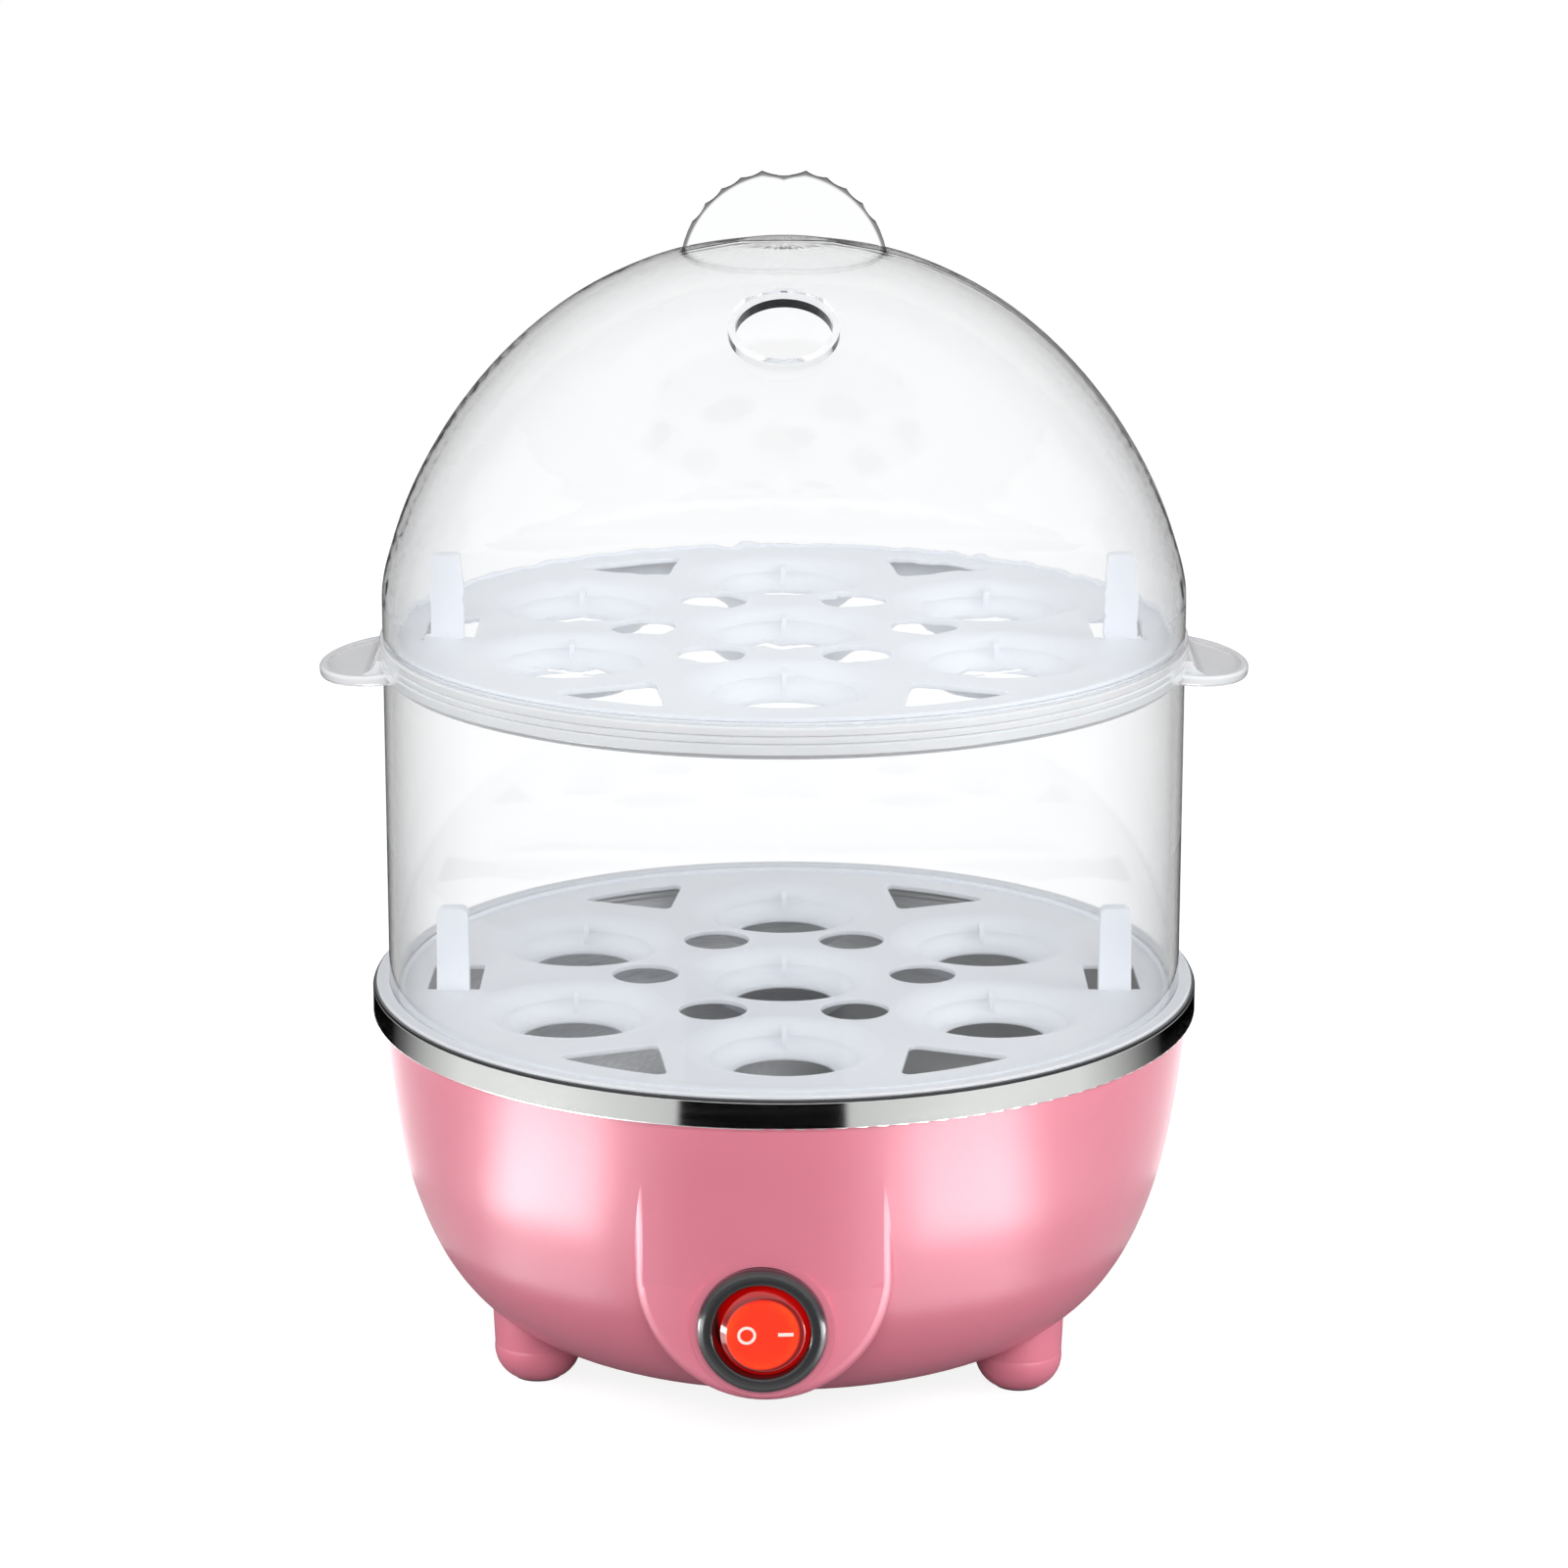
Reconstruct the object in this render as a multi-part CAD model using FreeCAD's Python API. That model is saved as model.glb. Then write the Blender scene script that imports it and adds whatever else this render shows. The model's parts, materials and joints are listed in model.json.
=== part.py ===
"""Two-tier electric egg cooker, modelled in millimetres.

Row frame: +Z up, the rubber foot pads stand on z = 0, the Z axis is the axis of the stacked vessels,
and the switch faces -Y.  Each function below makes one sub-part, and the last section writes them all.
"""
import FreeCAD, Part
import math
import os

os.makedirs("parts", exist_ok=True)

V = FreeCAD.Vector
ORIGIN = V(0, 0, 0)
UP = V(0, 0, 1)

# ---------------------------------------------------------------- driving dimensions
TOTAL_HEIGHT = 230.0          # foot pads to the top of the finger tab
WALL_R = 76.2                 # outer radius of the clear ring and of the lid's skirt
CLEAR_WALL = 1.6              # wall of the clear mouldings
STACK_TURN = 3.0              # the trays, ring and lid stand turned a little on the base, degrees

TRAY_TOP_LOW = 74.4           # top faces of the two trays
TRAY_TOP_HIGH = 143.2
TRAY_R = 75.2
TRAY_EDGE_R = 78.7            # the lower tray's edge rises round the ring's foot and covers the band
TRAY_EDGE_Z = (74.6, 75.2)
TRAY_T = 1.8                  # thickness of a tray's rim
PLATE_T = 0.9                 # and inside the rim
TRAY_LIP_R = 74.2             # outside of the low lip that centres what stands on the tray
TRAY_LIP_W = 0.9
TRAY_LIP_H = 0.6

CUP_RING_R = 46.0             # six outer cups lie on this circle, the seventh is in the middle
CUP_MOUTH_R = 18.7
CUP_SHOULDER_R = 13.6
CUP_HOLE_R = 9.6
CUP_DEPTH = 5.8
STEAM_HOLE_RING_R = 26.8
STEAM_HOLE_R = 6.5
POST_X = 63.3                 # lifting posts of a tray
POST_Y = -9.4
POST_W = 6.0
POST_T = 3.2
POST_H = 16.2
POST_SLOT_Y = (-10.3, 6.0)

LID_SPRING = 149.8            # the lid's skirt is straight up to here, then the dome begins
LID_RISE = 67.35
DOME_P = 1.526                # superellipse exponents of the dome
DOME_Q = 2.216
VENT_Y = -39.0
VENT_Z = 206.5
VENT_TILT = 33.0              # lean of the vent's axis from vertical, degrees
VENT_R = 8.8
VENT_LIP_R = 10.1
VENT_LIP_H = 1.4
BANNER_R = (12.9, 17.2)       # plain arched panel above the vent
BANNER_HALF_ANGLE = 47.0
EMBOSS = 0.35
TAB_R = 19.75                 # finger tab on the lid
TAB_CENTRE_Z = 210.7
TAB_T = 2.2
TAB_RIM = 1.2                 # thick rim round its thinner web
TAB_WEB_T = 1.4

COLLAR_R = 76.8
COLLAR_Z0 = 137.4
COLLAR_Z1 = 142.6
EAR_REACH = 88.6
EAR_HALF_WIDTH = 18.0
EAR_T = 2.0
EAR_DROOP = 6.0               # degrees

BOWL_R = 78.76                # housing bowl: r = R * (1 - ((ZT - z) / H) ** P) ** (1 / Q)
BOWL_ZT = 101.92
BOWL_H = 96.71
BOWL_P = 2.564
BOWL_Q = 5.789
BOWL_WALL = 2.2
BOWL_TOP = 70.9
BOWL_OPENING_R = 34.0
COVER_R = 40.6
COVER_Z = (5.6, 7.4)
COVER_SCREW_RING_R = 36.5
COVER_SCREW_ANGLES = (30.0, 150.0, 270.0)

BAND_R = 79.4                 # polished trim band
BAND_INNER_R = 77.9
BAND_Z = (69.0, 74.1)
BEAD_H = 0.45                 # black bead set in its upper edge
BEAD_SEAT = 0.7
BEAD_INNER_R = 77.15

PAN_FLOOR_Z = 52.0
PAN_LEDGE_Z = 72.6
PAN_T = 0.9

BOSS_R = 75.2                 # front face of the switch boss, a cylinder about the main axis
BOSS_HALF_WIDTH = 23.6
BOSS_ARC_Z = 38.8
BOSS_LEAN_Z = 37.0            # above this the boss leans out until the bowl takes it in
BOSS_TOP_Z = 62.0
BOSS_TOP_R = 77.25
SWITCH_Z = 29.7
SWITCH_SEAT_Y = -75.25
SWITCH_FLANGE_R = 11.9
SWITCH_FLANGE_T = 2.2
SWITCH_BARREL_R = 9.95
SWITCH_BACK_Y = -58.0
ROCKER_CAVITY_R = 8.9
ROCKER_R = 8.2
ROCKER_FACE_R = 7.1
ROCKER_PIVOT_Y = -71.5
ROCKER_PIN_R = 1.2
ROCKER_REST_TILT = 7.0        # switched on: the right-hand side is pressed in, degrees
RUNNING_FIT = 0.05

FOOT_RING_R = 52.0
FOOT_ANGLES = (-27.0, -153.0, 90.0)
FOOT_R = 8.6
FOOT_Z0 = 0.4
PAD_R = 4.6
POST_TOP_Z = 33.0             # housing screw posts, under the heat shield
POST_R = 4.75

INLET_X = 24.0                # cord inlet at the back
INLET_Z = 28.0
INLET_FACE_Y = 71.2
CORD_HOLE_R = 3.3

SPREADER_R = 46.0
SPREADER_Z = (46.2, 51.1)
HEATER_R = 34.0
HEATER_TUBE_R = 3.3
HEATER_Z = 45.0
HEATER_GAP_ANGLE = 110.0
HEATER_HALF_GAP = 30.0
HEATER_BEND_R = 8.0
HEATER_END_Z = 31.0
SHIELD_Z = (33.0, 33.8)
SHIELD_R = 58.0
STUD_RING_R = 41.5
STUD_ANGLES = (30.0, 150.0, 290.0)
M4_R = 2.0
M4_NUT_FLATS = 7.0
M4_NUT_T = 3.2

FUSE_Y = -20.0
FUSE_SLEEVE_R = 2.8
BLOCK_X = (9.5, 30.5)
BLOCK_Y = (35.0, 46.0)
BLOCK_Z = (13.0, 23.0)
BLOCK_WAYS = (13.0, 20.0, 27.0)
WIRE_R = 1.1
WIRE_BEND = 4.0


# ---------------------------------------------------------------- helpers
def polar(radius, degrees, z=0.0):
    a = math.radians(degrees)
    return V(radius * math.cos(a), radius * math.sin(a), z)


def cylinder(radius, z0, z1, centre=ORIGIN):
    return Part.makeCylinder(radius, z1 - z0, V(centre.x, centre.y, z0), UP)


def rod(radius, start, end):
    run = end - start
    return Part.makeCylinder(radius, run.Length, start, run)


def tube(outer, inner, z0, z1, centre=ORIGIN):
    return cylinder(outer, z0, z1, centre).cut(cylinder(inner, z0 - 1, z1 + 1, centre))


def block(x, y, z):
    """Box between the (low, high) pairs x, y and z."""
    return Part.makeBox(x[1] - x[0], y[1] - y[0], z[1] - z[0], V(x[0], y[0], z[0]))


def outline(start, *steps):
    """Closed wire in the XZ plane.  A step is (x, z), or (x mid, z mid, x end, z end) for an arc."""
    edges = []
    here = V(start[0], 0, start[1])
    for step in steps + (start,):
        there = V(step[-2], 0, step[-1])
        if len(step) == 4:
            middle = V(step[0], 0, step[1])
            edges.append(Part.Arc(here, middle, there).toShape())
        elif (there - here).Length > 1e-6:
            edges.append(Part.LineSegment(here, there).toShape())
        here = there
    return Part.Wire(edges)


def spin(wire):
    """Solid of revolution of a wire in the XZ plane about the Z axis."""
    return Part.Face(wire).revolve(ORIGIN, UP, 360)


def slab(wire, y0, y1):
    """Prism of a wire in the XZ plane, between two values of y."""
    face = Part.Face(wire)
    face.translate(V(0, y0, 0))
    return face.extrude(V(0, y1 - y0, 0))


def turned(shape, degrees, centre=ORIGIN, axis=UP):
    copy = shape.copy()
    copy.rotate(centre, axis, degrees)
    return copy


def moved(shape, by):
    copy = shape.copy()
    copy.translate(by)
    return copy


def hexagon(flats, z0, z1, centre):
    corner = flats / math.sqrt(3)
    points = [centre + polar(corner, 60 * i) for i in range(7)]
    face = Part.Face(Part.makePolygon([V(p.x, p.y, z0) for p in points]))
    return face.extrude(V(0, 0, z1 - z0))


def fuse(shapes):
    return shapes[0].multiFuse(shapes[1:]).removeSplitter()


def cut(shape, tools):
    return shape.cut(list(tools))


def rounded_path(points, radius):
    """Wire of straight runs joined by tangent arcs."""
    edges = []
    start = points[0]
    for before, corner, after in zip(points, points[1:], points[2:]):
        u = (before - corner).normalize()
        w = (after - corner).normalize()
        half = u.getAngle(w) / 2
        reach = radius / math.tan(half)
        first = corner + u * reach
        last = corner + w * reach
        middle = corner + (u + w).normalize() * (radius / math.sin(half) - radius)
        edges.append(Part.LineSegment(start, first).toShape())
        edges.append(Part.Arc(first, middle, last).toShape())
        start = last
    edges.append(Part.LineSegment(start, points[-1]).toShape())
    return Part.Wire(edges)


def swept_round(points, radius, bend):
    """Round bar along a path of straight runs and tangent arcs."""
    path = rounded_path(points, bend)
    section = Part.Wire(Part.Circle(points[0], points[1] - points[0], radius).toShape())
    return path.makePipeShell([section], True, True)


def save(node, shape):
    if isinstance(shape, (list, tuple)):
        shape = Part.makeCompound(list(shape))
    shape.exportStep("parts/" + node + ".step")


# ---------------------------------------------------------------- lid
def dome_curve(inset):
    """Half profile of the dome, from the spring line to the crown, inset from the outer surface."""
    radius = WALL_R - inset
    rise = LID_RISE - inset
    points = []
    steps = 12
    for i in range(steps + 1):
        u = math.sin(math.pi / 2 * i / steps)
        r = radius * max(0.0, 1 - u ** DOME_P) ** (1 / DOME_Q)
        points.append(V(r, 0, LID_SPRING + rise * u))
    curve = Part.BSplineCurve()
    curve.interpolate(Points=points, InitialTangent=V(0, 0, 1), FinalTangent=V(-1, 0, 0))
    return curve.toShape()


def dome_solid(inset, bottom):
    curve = dome_curve(inset)
    spring = V(WALL_R - inset, 0, LID_SPRING)
    crown = V(0, 0, LID_SPRING + LID_RISE - inset)
    foot = V(WALL_R - inset, 0, bottom)
    axis_foot = V(0, 0, bottom)
    wire = Part.Wire([
        Part.LineSegment(axis_foot, foot).toShape(),
        Part.LineSegment(foot, spring).toShape(),
        curve,
        Part.LineSegment(crown, axis_foot).toShape(),
    ])
    return spin(wire)


def finger_tab():
    """Upright tab on the crown: a half disc with a shallow dip on top and scalloped sides."""
    cusps = [12, 24, 36, 48, 60]
    scallop = 0.45
    dip = 1.3

    def at(degrees, radius):
        a = math.radians(degrees)
        return (radius * math.sin(a), TAB_CENTRE_Z + radius * math.cos(a))

    steps = []
    for low, high in zip(cusps, cusps[1:]):
        steps.append(at((low + high) / 2, TAB_R - scallop) + at(high, TAB_R))
    steps.append(at(76, TAB_R - 0.1) + at(92, TAB_R))
    steps.append((8.0, 205.0))
    steps.append((-8.0, 205.0))
    steps.append(at(-92, TAB_R))
    steps.append(at(-76, TAB_R - 0.1) + at(-60, TAB_R))
    for high, low in zip(cusps[::-1], cusps[-2::-1]):
        steps.append(at(-(low + high) / 2, TAB_R - scallop) + at(-low, TAB_R))
    steps.append(at(0, TAB_R - dip) + at(12, TAB_R))
    tab = slab(outline(at(12, TAB_R), *steps), -TAB_T / 2, TAB_T / 2)
    web = tab.common(rod(TAB_R - TAB_RIM, V(0, -5, TAB_CENTRE_Z), V(0, 5, TAB_CENTRE_Z)))
    thin = TAB_T / 2 - TAB_WEB_T / 2
    for side in (-1, 1):
        tab = tab.cut(moved(web, V(0, side * (TAB_T - thin), 0)))
    return tab


def vent_frame(shape):
    """Put a shape made about +Z at the origin onto the vent's leaning axis."""
    placed = turned(shape, VENT_TILT, ORIGIN, V(1, 0, 0))
    return moved(placed, V(0, VENT_Y, VENT_Z))


def arched_prism(inner, outer, half_angle, z0, z1):
    """Part of a ring about Z, centred on +Y, with round ends."""
    middle = (inner + outer) / 2
    end_r = (outer - inner) / 2
    far = outer * 4
    wedge = Part.makePolygon([
        ORIGIN, polar(far, 90 - half_angle), polar(far, 90), polar(far, 90 + half_angle), ORIGIN])
    sector = Part.Face(wedge).extrude(V(0, 0, z1 - z0))
    sector.translate(V(0, 0, z0))
    band = tube(outer, inner, z0, z1).common(sector)
    ends = [cylinder(end_r, z0, z1, polar(middle, 90 + s * half_angle)) for s in (-1, 1)]
    return fuse([band] + ends)


def steam_mark(x, y):
    """Small S-shaped rib, the generic sign for steam."""
    ribs = []
    for side in (-1, 1):
        ring = tube(1.0, 0.55, -6, 6, V(x, y + side * 0.8, 0))
        half = block((x, x + 2) if side > 0 else (x - 2, x), (y - 3, y + 3), (-6, 6))
        ribs.append(ring.common(half))
    return ribs


def lid():
    shell = dome_solid(0, TRAY_TOP_HIGH)
    tab = finger_tab()
    lip = vent_frame(cylinder(VENT_LIP_R, -4, VENT_LIP_H))
    line = 0.45
    inner, outer = BANNER_R
    frame = arched_prism(inner, outer, BANNER_HALF_ANGLE, -6, 6)
    frame = frame.cut(arched_prism(inner + line, outer - line, BANNER_HALF_ANGLE, -7, 7))
    marks = []
    for lean in (-30, 0, 30):
        for rib in steam_mark(0, (inner + outer) / 2):
            marks.append(turned(rib, -lean))
    raised = Part.makeCompound([vent_frame(piece) for piece in [frame] + marks])
    skin = dome_solid(-EMBOSS, TRAY_TOP_HIGH).common(raised)
    outer_form = fuse([shell, tab, lip])
    outer_form = outer_form.fuse(skin)
    hollow = dome_solid(CLEAR_WALL, TRAY_TOP_HIGH - 1)
    vent = vent_frame(cylinder(VENT_R, -12, 12))
    return outer_form.cut(hollow).cut(vent)


# ---------------------------------------------------------------- egg trays
def cup_positions():
    return [ORIGIN] + [polar(CUP_RING_R, 30 + 60 * i) for i in range(6)]


def cup_shell(top):
    """Wide shallow dish with an open bottom: (solid to add, space to remove)."""
    low = top - CUP_DEPTH
    brim = CUP_MOUTH_R
    shoulder = CUP_SHOULDER_R
    throat = CUP_HOLE_R
    inside = outline(
        (0, top + 1), (brim, top + 1), (brim, top),
        (brim - 2.6, top - 0.6, shoulder, top - 2.2),
        (shoulder - 2.4, top - 3.4, throat + 0.5, low + 0.7), (throat, low + 0.4),
        (throat, low - 1), (0, low - 1))
    outside = outline(
        (0, top), (brim + 0.6, top), (brim + 0.6, top - PLATE_T),
        (shoulder + 1.3, top - 3.3), (throat + 1.5, low), (0, low))
    return spin(outside), spin(inside)


def corner_slot(top):
    """Three-sided opening between the rim and two neighbouring cups, at 60 degrees."""
    z0 = top - 6
    z1 = top + 2
    corners = [V(23.2, 44.6, z0), V(47.3, 54.1, z0), V(40, 66, z0), V(20.6, 66, z0), V(23.2, 44.6, z0)]
    region = Part.Face(Part.makePolygon(corners)).extrude(V(0, 0, z1 - z0))
    region = region.common(cylinder(66.9, z0, z1))
    upright = [e for e in region.Edges if abs(e.tangentAt(e.FirstParameter).z) > 0.99]
    return region.makeFillet(1.5, upright)


def lifting_post(top):
    """Upright tab of a tray, with round corners on top."""
    half = POST_W / 2
    wire = outline(
        (-half - 0.1, top - PLATE_T), (half + 0.1, top - PLATE_T), (half - 0.1, top + POST_H - 1.2),
        (half - 0.45, top + POST_H - 0.35, half - 1.3, top + POST_H), (-half + 1.3, top + POST_H),
        (-half + 0.45, top + POST_H - 0.35, -half + 0.1, top + POST_H - 1.2))
    return slab(wire, POST_Y - POST_T / 2, POST_Y + POST_T / 2)


def egg_tray(top):
    plate = cylinder(TRAY_R, top - TRAY_T, top)
    plate = plate.cut(cylinder(TRAY_R - 4.0, top - TRAY_T - 1, top - PLATE_T))
    lip = tube(TRAY_LIP_R, TRAY_LIP_R - TRAY_LIP_W, top - 0.5, top + TRAY_LIP_H)
    dish, hollow = cup_shell(top)
    dishes = [moved(dish, c) for c in cup_positions()]
    hollows = [moved(hollow, c) for c in cup_positions()]
    holes = []
    for i in range(6):
        holes.append(cylinder(STEAM_HOLE_R, top - 6, top + 2, polar(STEAM_HOLE_RING_R, 60 * i)))
    slot = corner_slot(top)
    mirrored = slot.mirror(ORIGIN, V(1, 0, 0))
    slots = [slot, mirrored, slot.mirror(ORIGIN, V(0, 1, 0)), mirrored.mirror(ORIGIN, V(0, 1, 0))]
    posts = []
    gaps = []
    for side in (-1, 1):
        posts.append(moved(lifting_post(top), V(side * POST_X, 0, 0)))
        for near, far in ((2.5, 5.0), (-5.0, -2.0)):
            span = sorted((side * (POST_X + near), side * (POST_X + far)))
            gaps.append(block(span, POST_SLOT_Y, (top - 6, top + 2)))
    body = fuse([plate, lip] + dishes)
    body = cut(body, hollows + holes + slots + gaps)
    low = top - CUP_DEPTH
    rib = outline((-0.5, low + 0.4), (0.5, low + 0.4), (0.5, top - 0.9), (-0.5, top - 0.9))
    ribs = []
    for centre in cup_positions():
        rib_solid = moved(slab(rib, CUP_HOLE_R + 1.0, CUP_SHOULDER_R + 2.0), centre)
        ribs.append(rib_solid.common(moved(dish, centre)))
    return fuse([body] + posts + ribs)


def raised_edge():
    """Edge of the lower tray: out under the ring's foot, up round it, and out over the band."""
    inner = WALL_R + RUNNING_FIT
    low, high = TRAY_EDGE_Z
    return spin(outline(
        (TRAY_R - 2.0, TRAY_TOP_LOW - PLATE_T), (BEAD_INNER_R - 0.15, TRAY_TOP_LOW - PLATE_T),
        (BEAD_INNER_R - 0.15, low), (TRAY_EDGE_R, low),
        (TRAY_EDGE_R, high - 0.2), (TRAY_EDGE_R - 0.2, high),
        (inner + 0.1, high), (inner, high - 0.1),
        (inner, TRAY_TOP_LOW), (TRAY_R - 2.0, TRAY_TOP_LOW)))


# ---------------------------------------------------------------- clear ring and its collar
def steam_ring():
    inner = WALL_R - CLEAR_WALL
    neck_z = COLLAR_Z0 - 0.05
    foot = TRAY_TOP_LOW
    section = outline(
        (inner, foot), (WALL_R - 0.3, foot), (WALL_R - 0.09, foot + 0.09, WALL_R, foot + 0.3),
        (WALL_R, neck_z), (WALL_R - 0.6, neck_z), (WALL_R - 0.6, neck_z + 2.2), (inner, neck_z + 2.2))
    return spin(section)


def collar_ring():
    leg = WALL_R - 0.5
    inside = WALL_R - CLEAR_WALL - 0.1
    ledge = TRAY_TOP_HIGH - TRAY_T
    web = COLLAR_Z0 + 2.3
    groove = 0.35
    return spin(outline(
        (leg, COLLAR_Z0), (COLLAR_R - 0.2, COLLAR_Z0), (COLLAR_R, COLLAR_Z0 + 0.2),
        (COLLAR_R, 139.1), (COLLAR_R - groove, 139.4), (COLLAR_R, 139.7),
        (COLLAR_R, 140.5), (COLLAR_R - groove, 140.8), (COLLAR_R, 141.1),
        (COLLAR_R, COLLAR_Z1 - 0.4), (COLLAR_R - 0.12, COLLAR_Z1 - 0.12, COLLAR_R - 0.4, COLLAR_Z1),
        (leg + 0.1, COLLAR_Z1), (leg, COLLAR_Z1 - 0.1), (leg, ledge), (inside - 1.3, ledge),
        (inside - 1.3, COLLAR_Z0 - 1.0), (inside, COLLAR_Z0 - 1.0), (inside, web), (leg, web)))


def ear():
    """Half-oval handle with a raised edge, on the +X side."""
    root_x = 75.0
    top = COLLAR_Z0 + 0.3
    reach = EAR_REACH - root_x

    def oval(inset, z0, z1):
        # makeEllipse wants the longer half axis first, which lies along Y here
        curve = Part.Ellipse(V(root_x, EAR_HALF_WIDTH - inset, 0), V(root_x + reach - inset, 0, 0),
                             V(root_x, 0, 0))
        face = Part.Face(Part.Wire(curve.toShape()))
        face.translate(V(0, 0, z0))
        return face.extrude(V(0, 0, z1 - z0))

    plate = oval(0, top - EAR_T, top)
    rims = [e for e in plate.Edges if abs(e.tangentAt(e.FirstParameter).z) < 0.01]
    plate = plate.makeFillet(0.6, rims)
    plate = plate.cut(oval(1.5, top - 0.5, top + 1))
    plate.rotate(V(COLLAR_R, 0, top), V(0, 1, 0), EAR_DROOP)
    root = outline((COLLAR_R - 1.5, top - EAR_T), (COLLAR_R + 1.2, top - EAR_T),
                   (COLLAR_R + 2.4, top - 0.6), (COLLAR_R + 0.7, top + 0.4, COLLAR_R - 0.1, top + 1.8),
                   (COLLAR_R - 1.5, top + 1.8))
    gusset = slab(root, -13.0, 13.0)
    whole = plate.fuse(gusset)
    return whole.cut(cylinder(WALL_R + 0.05, top - 20, top + 20))


def ring_collar():
    right = ear()
    left = turned(right, 180)
    return fuse([collar_ring(), right, left])


# ---------------------------------------------------------------- base housing
def bowl_radius(z, inset):
    u = (BOWL_ZT - z) / (BOWL_H - inset)
    return (BOWL_R - inset) * max(0.0, 1 - u ** BOWL_P) ** (1 / BOWL_Q)


def bowl_solid(inset):
    """Bowl of the housing, filled, from its flat bottom to the rim."""
    heights = [70.9, 58, 47, 37, 28, 20, 14, 10, 8]
    floor = BOWL_ZT - BOWL_H + inset
    points = [V(bowl_radius(z + inset * 0.3, inset), 0, z + inset * 0.3) for z in heights]
    points[0] = V(bowl_radius(BOWL_TOP, inset), 0, BOWL_TOP)
    last = floor + 0.75
    points.append(V(bowl_radius(last, inset), 0, last))
    curve = Part.BSplineCurve()
    curve.interpolate(Points=points)
    corner = points[-1]
    centre_bottom = V(0, 0, floor + 0.6)
    centre_top = V(0, 0, BOWL_TOP)
    return spin(Part.Wire([
        curve.toShape(),
        Part.LineSegment(corner, centre_bottom).toShape(),
        Part.LineSegment(centre_bottom, centre_top).toShape(),
        Part.LineSegment(centre_top, points[0]).toShape(),
    ]))


def boss_tongue(inset):
    """U-shaped tongue that carries the bowl's upper wall straight down to the switch."""
    half = BOSS_HALF_WIDTH - inset
    wire = outline(
        (half, BOSS_TOP_Z), (half, BOSS_ARC_Z), (0, BOSS_ARC_Z - half, -half, BOSS_ARC_Z),
        (-half, BOSS_TOP_Z))
    tongue = slab(wire, -BOSS_R - 5, -50)
    front = spin(outline(
        (0, 0), (BOSS_R - inset, 0), (BOSS_R - inset, BOSS_LEAN_Z),
        (BOSS_R + 0.78 - inset, 48.5, BOSS_TOP_R - inset, BOSS_TOP_Z), (0, BOSS_TOP_Z)))
    tongue = tongue.common(front)
    if inset == 0:
        rim = []
        for edge in tongue.Edges:
            box = edge.BoundBox
            if box.YMax < -66 and box.ZMin < BOSS_TOP_Z - 1 and box.ZLength > 0.5 and box.XLength < 2.5:
                rim.append(edge)
            elif box.YMax < -66 and box.ZMax < BOSS_ARC_Z + 0.1:
                rim.append(edge)
        tongue = tongue.makeFillet(2.4, rim)
    return tongue


def foot_solid(centre):
    profile = outline(
        (0, FOOT_Z0), (PAD_R + 0.5, FOOT_Z0), (FOOT_R - 1.25, 2.6, FOOT_R - 0.35, 7.0), (FOOT_R, 15.0),
        (0, 15.0))
    return moved(spin(profile), centre)


def switch_rod(radius, y0, y1):
    return rod(radius, V(0, y0, SWITCH_Z), V(0, y1, SWITCH_Z))


def inlet_rod(radius, y0, y1):
    return rod(radius, V(INLET_X, y0, INLET_Z), V(INLET_X, y1, INLET_Z))


def housing():
    feet = [polar(FOOT_RING_R, a) for a in FOOT_ANGLES]
    lugs = [polar(COVER_SCREW_RING_R, a) for a in COVER_SCREW_ANGLES]
    outside = [bowl_solid(0), boss_tongue(0)]
    outside.append(switch_rod(13.2, SWITCH_SEAT_Y, -68))
    outside.append(inlet_rod(9.0, 50, INLET_FACE_Y))
    outside += [foot_solid(c) for c in feet]
    form = fuse(outside)
    inside = [bowl_solid(BOWL_WALL), boss_tongue(BOWL_WALL)]
    inside.append(switch_rod(11.0, -72.8, -60))
    inside.append(inlet_rod(6.8, INLET_FACE_Y - 2.2, 45))
    form = cut(form, inside)
    keep = bowl_solid(1.0)
    posts = [cylinder(POST_R, 6, POST_TOP_Z, c).common(keep) for c in feet]
    ledge = tube(42.8, BOWL_OPENING_R, COVER_Z[1], 9.8)
    bosses = [cylinder(3.2, COVER_Z[1], 17.0, c) for c in lugs]
    pedestal = block((14, 26), (37, 44), (7.5, BLOCK_Z[0])).common(keep)
    form = fuse([form, ledge, pedestal] + posts)
    rim_step = tube(BAND_R, BAND_INNER_R - RUNNING_FIT, BAND_Z[0], BAND_Z[1])
    opening = [cylinder(COVER_R + 0.2, 0, COVER_Z[1]), cylinder(BOWL_OPENING_R, 0, 9.0)]
    form = cut(form, opening + [rim_step])
    form = fuse([form] + bosses)
    holes = [switch_rod(SWITCH_BARREL_R + 0.1, -80, -70), inlet_rod(5.2, 60, 75)]
    holes.append(switch_rod(SWITCH_FLANGE_R + 0.1, -82, SWITCH_SEAT_Y))
    for c in feet:
        holes.append(cylinder(2.2, -1, POST_TOP_Z + 1, c))
        holes.append(cylinder(4.3, -1, 11.5, c))
        holes.append(cylinder(PAD_R + 0.1, -1, 1.6, c))
    for c in lugs:
        holes.append(cylinder(1.25, 0, 16.0, c))
    return cut(form, holes)


def trim_band():
    low, high = BAND_Z
    seat = high - BEAD_SEAT
    return spin(outline(
        (BAND_INNER_R, low), (BAND_R - 0.35, low), (BAND_R - 0.1, low + 0.1, BAND_R, low + 0.35),
        (BAND_R, high - 0.1), (BAND_R - 0.1, high), (BAND_R - 0.5, high), (BAND_R - 0.5, seat),
        (BAND_INNER_R - 0.8, seat), (BAND_INNER_R - 0.8, PAN_LEDGE_Z), (BAND_INNER_R, PAN_LEDGE_Z)))


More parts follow.
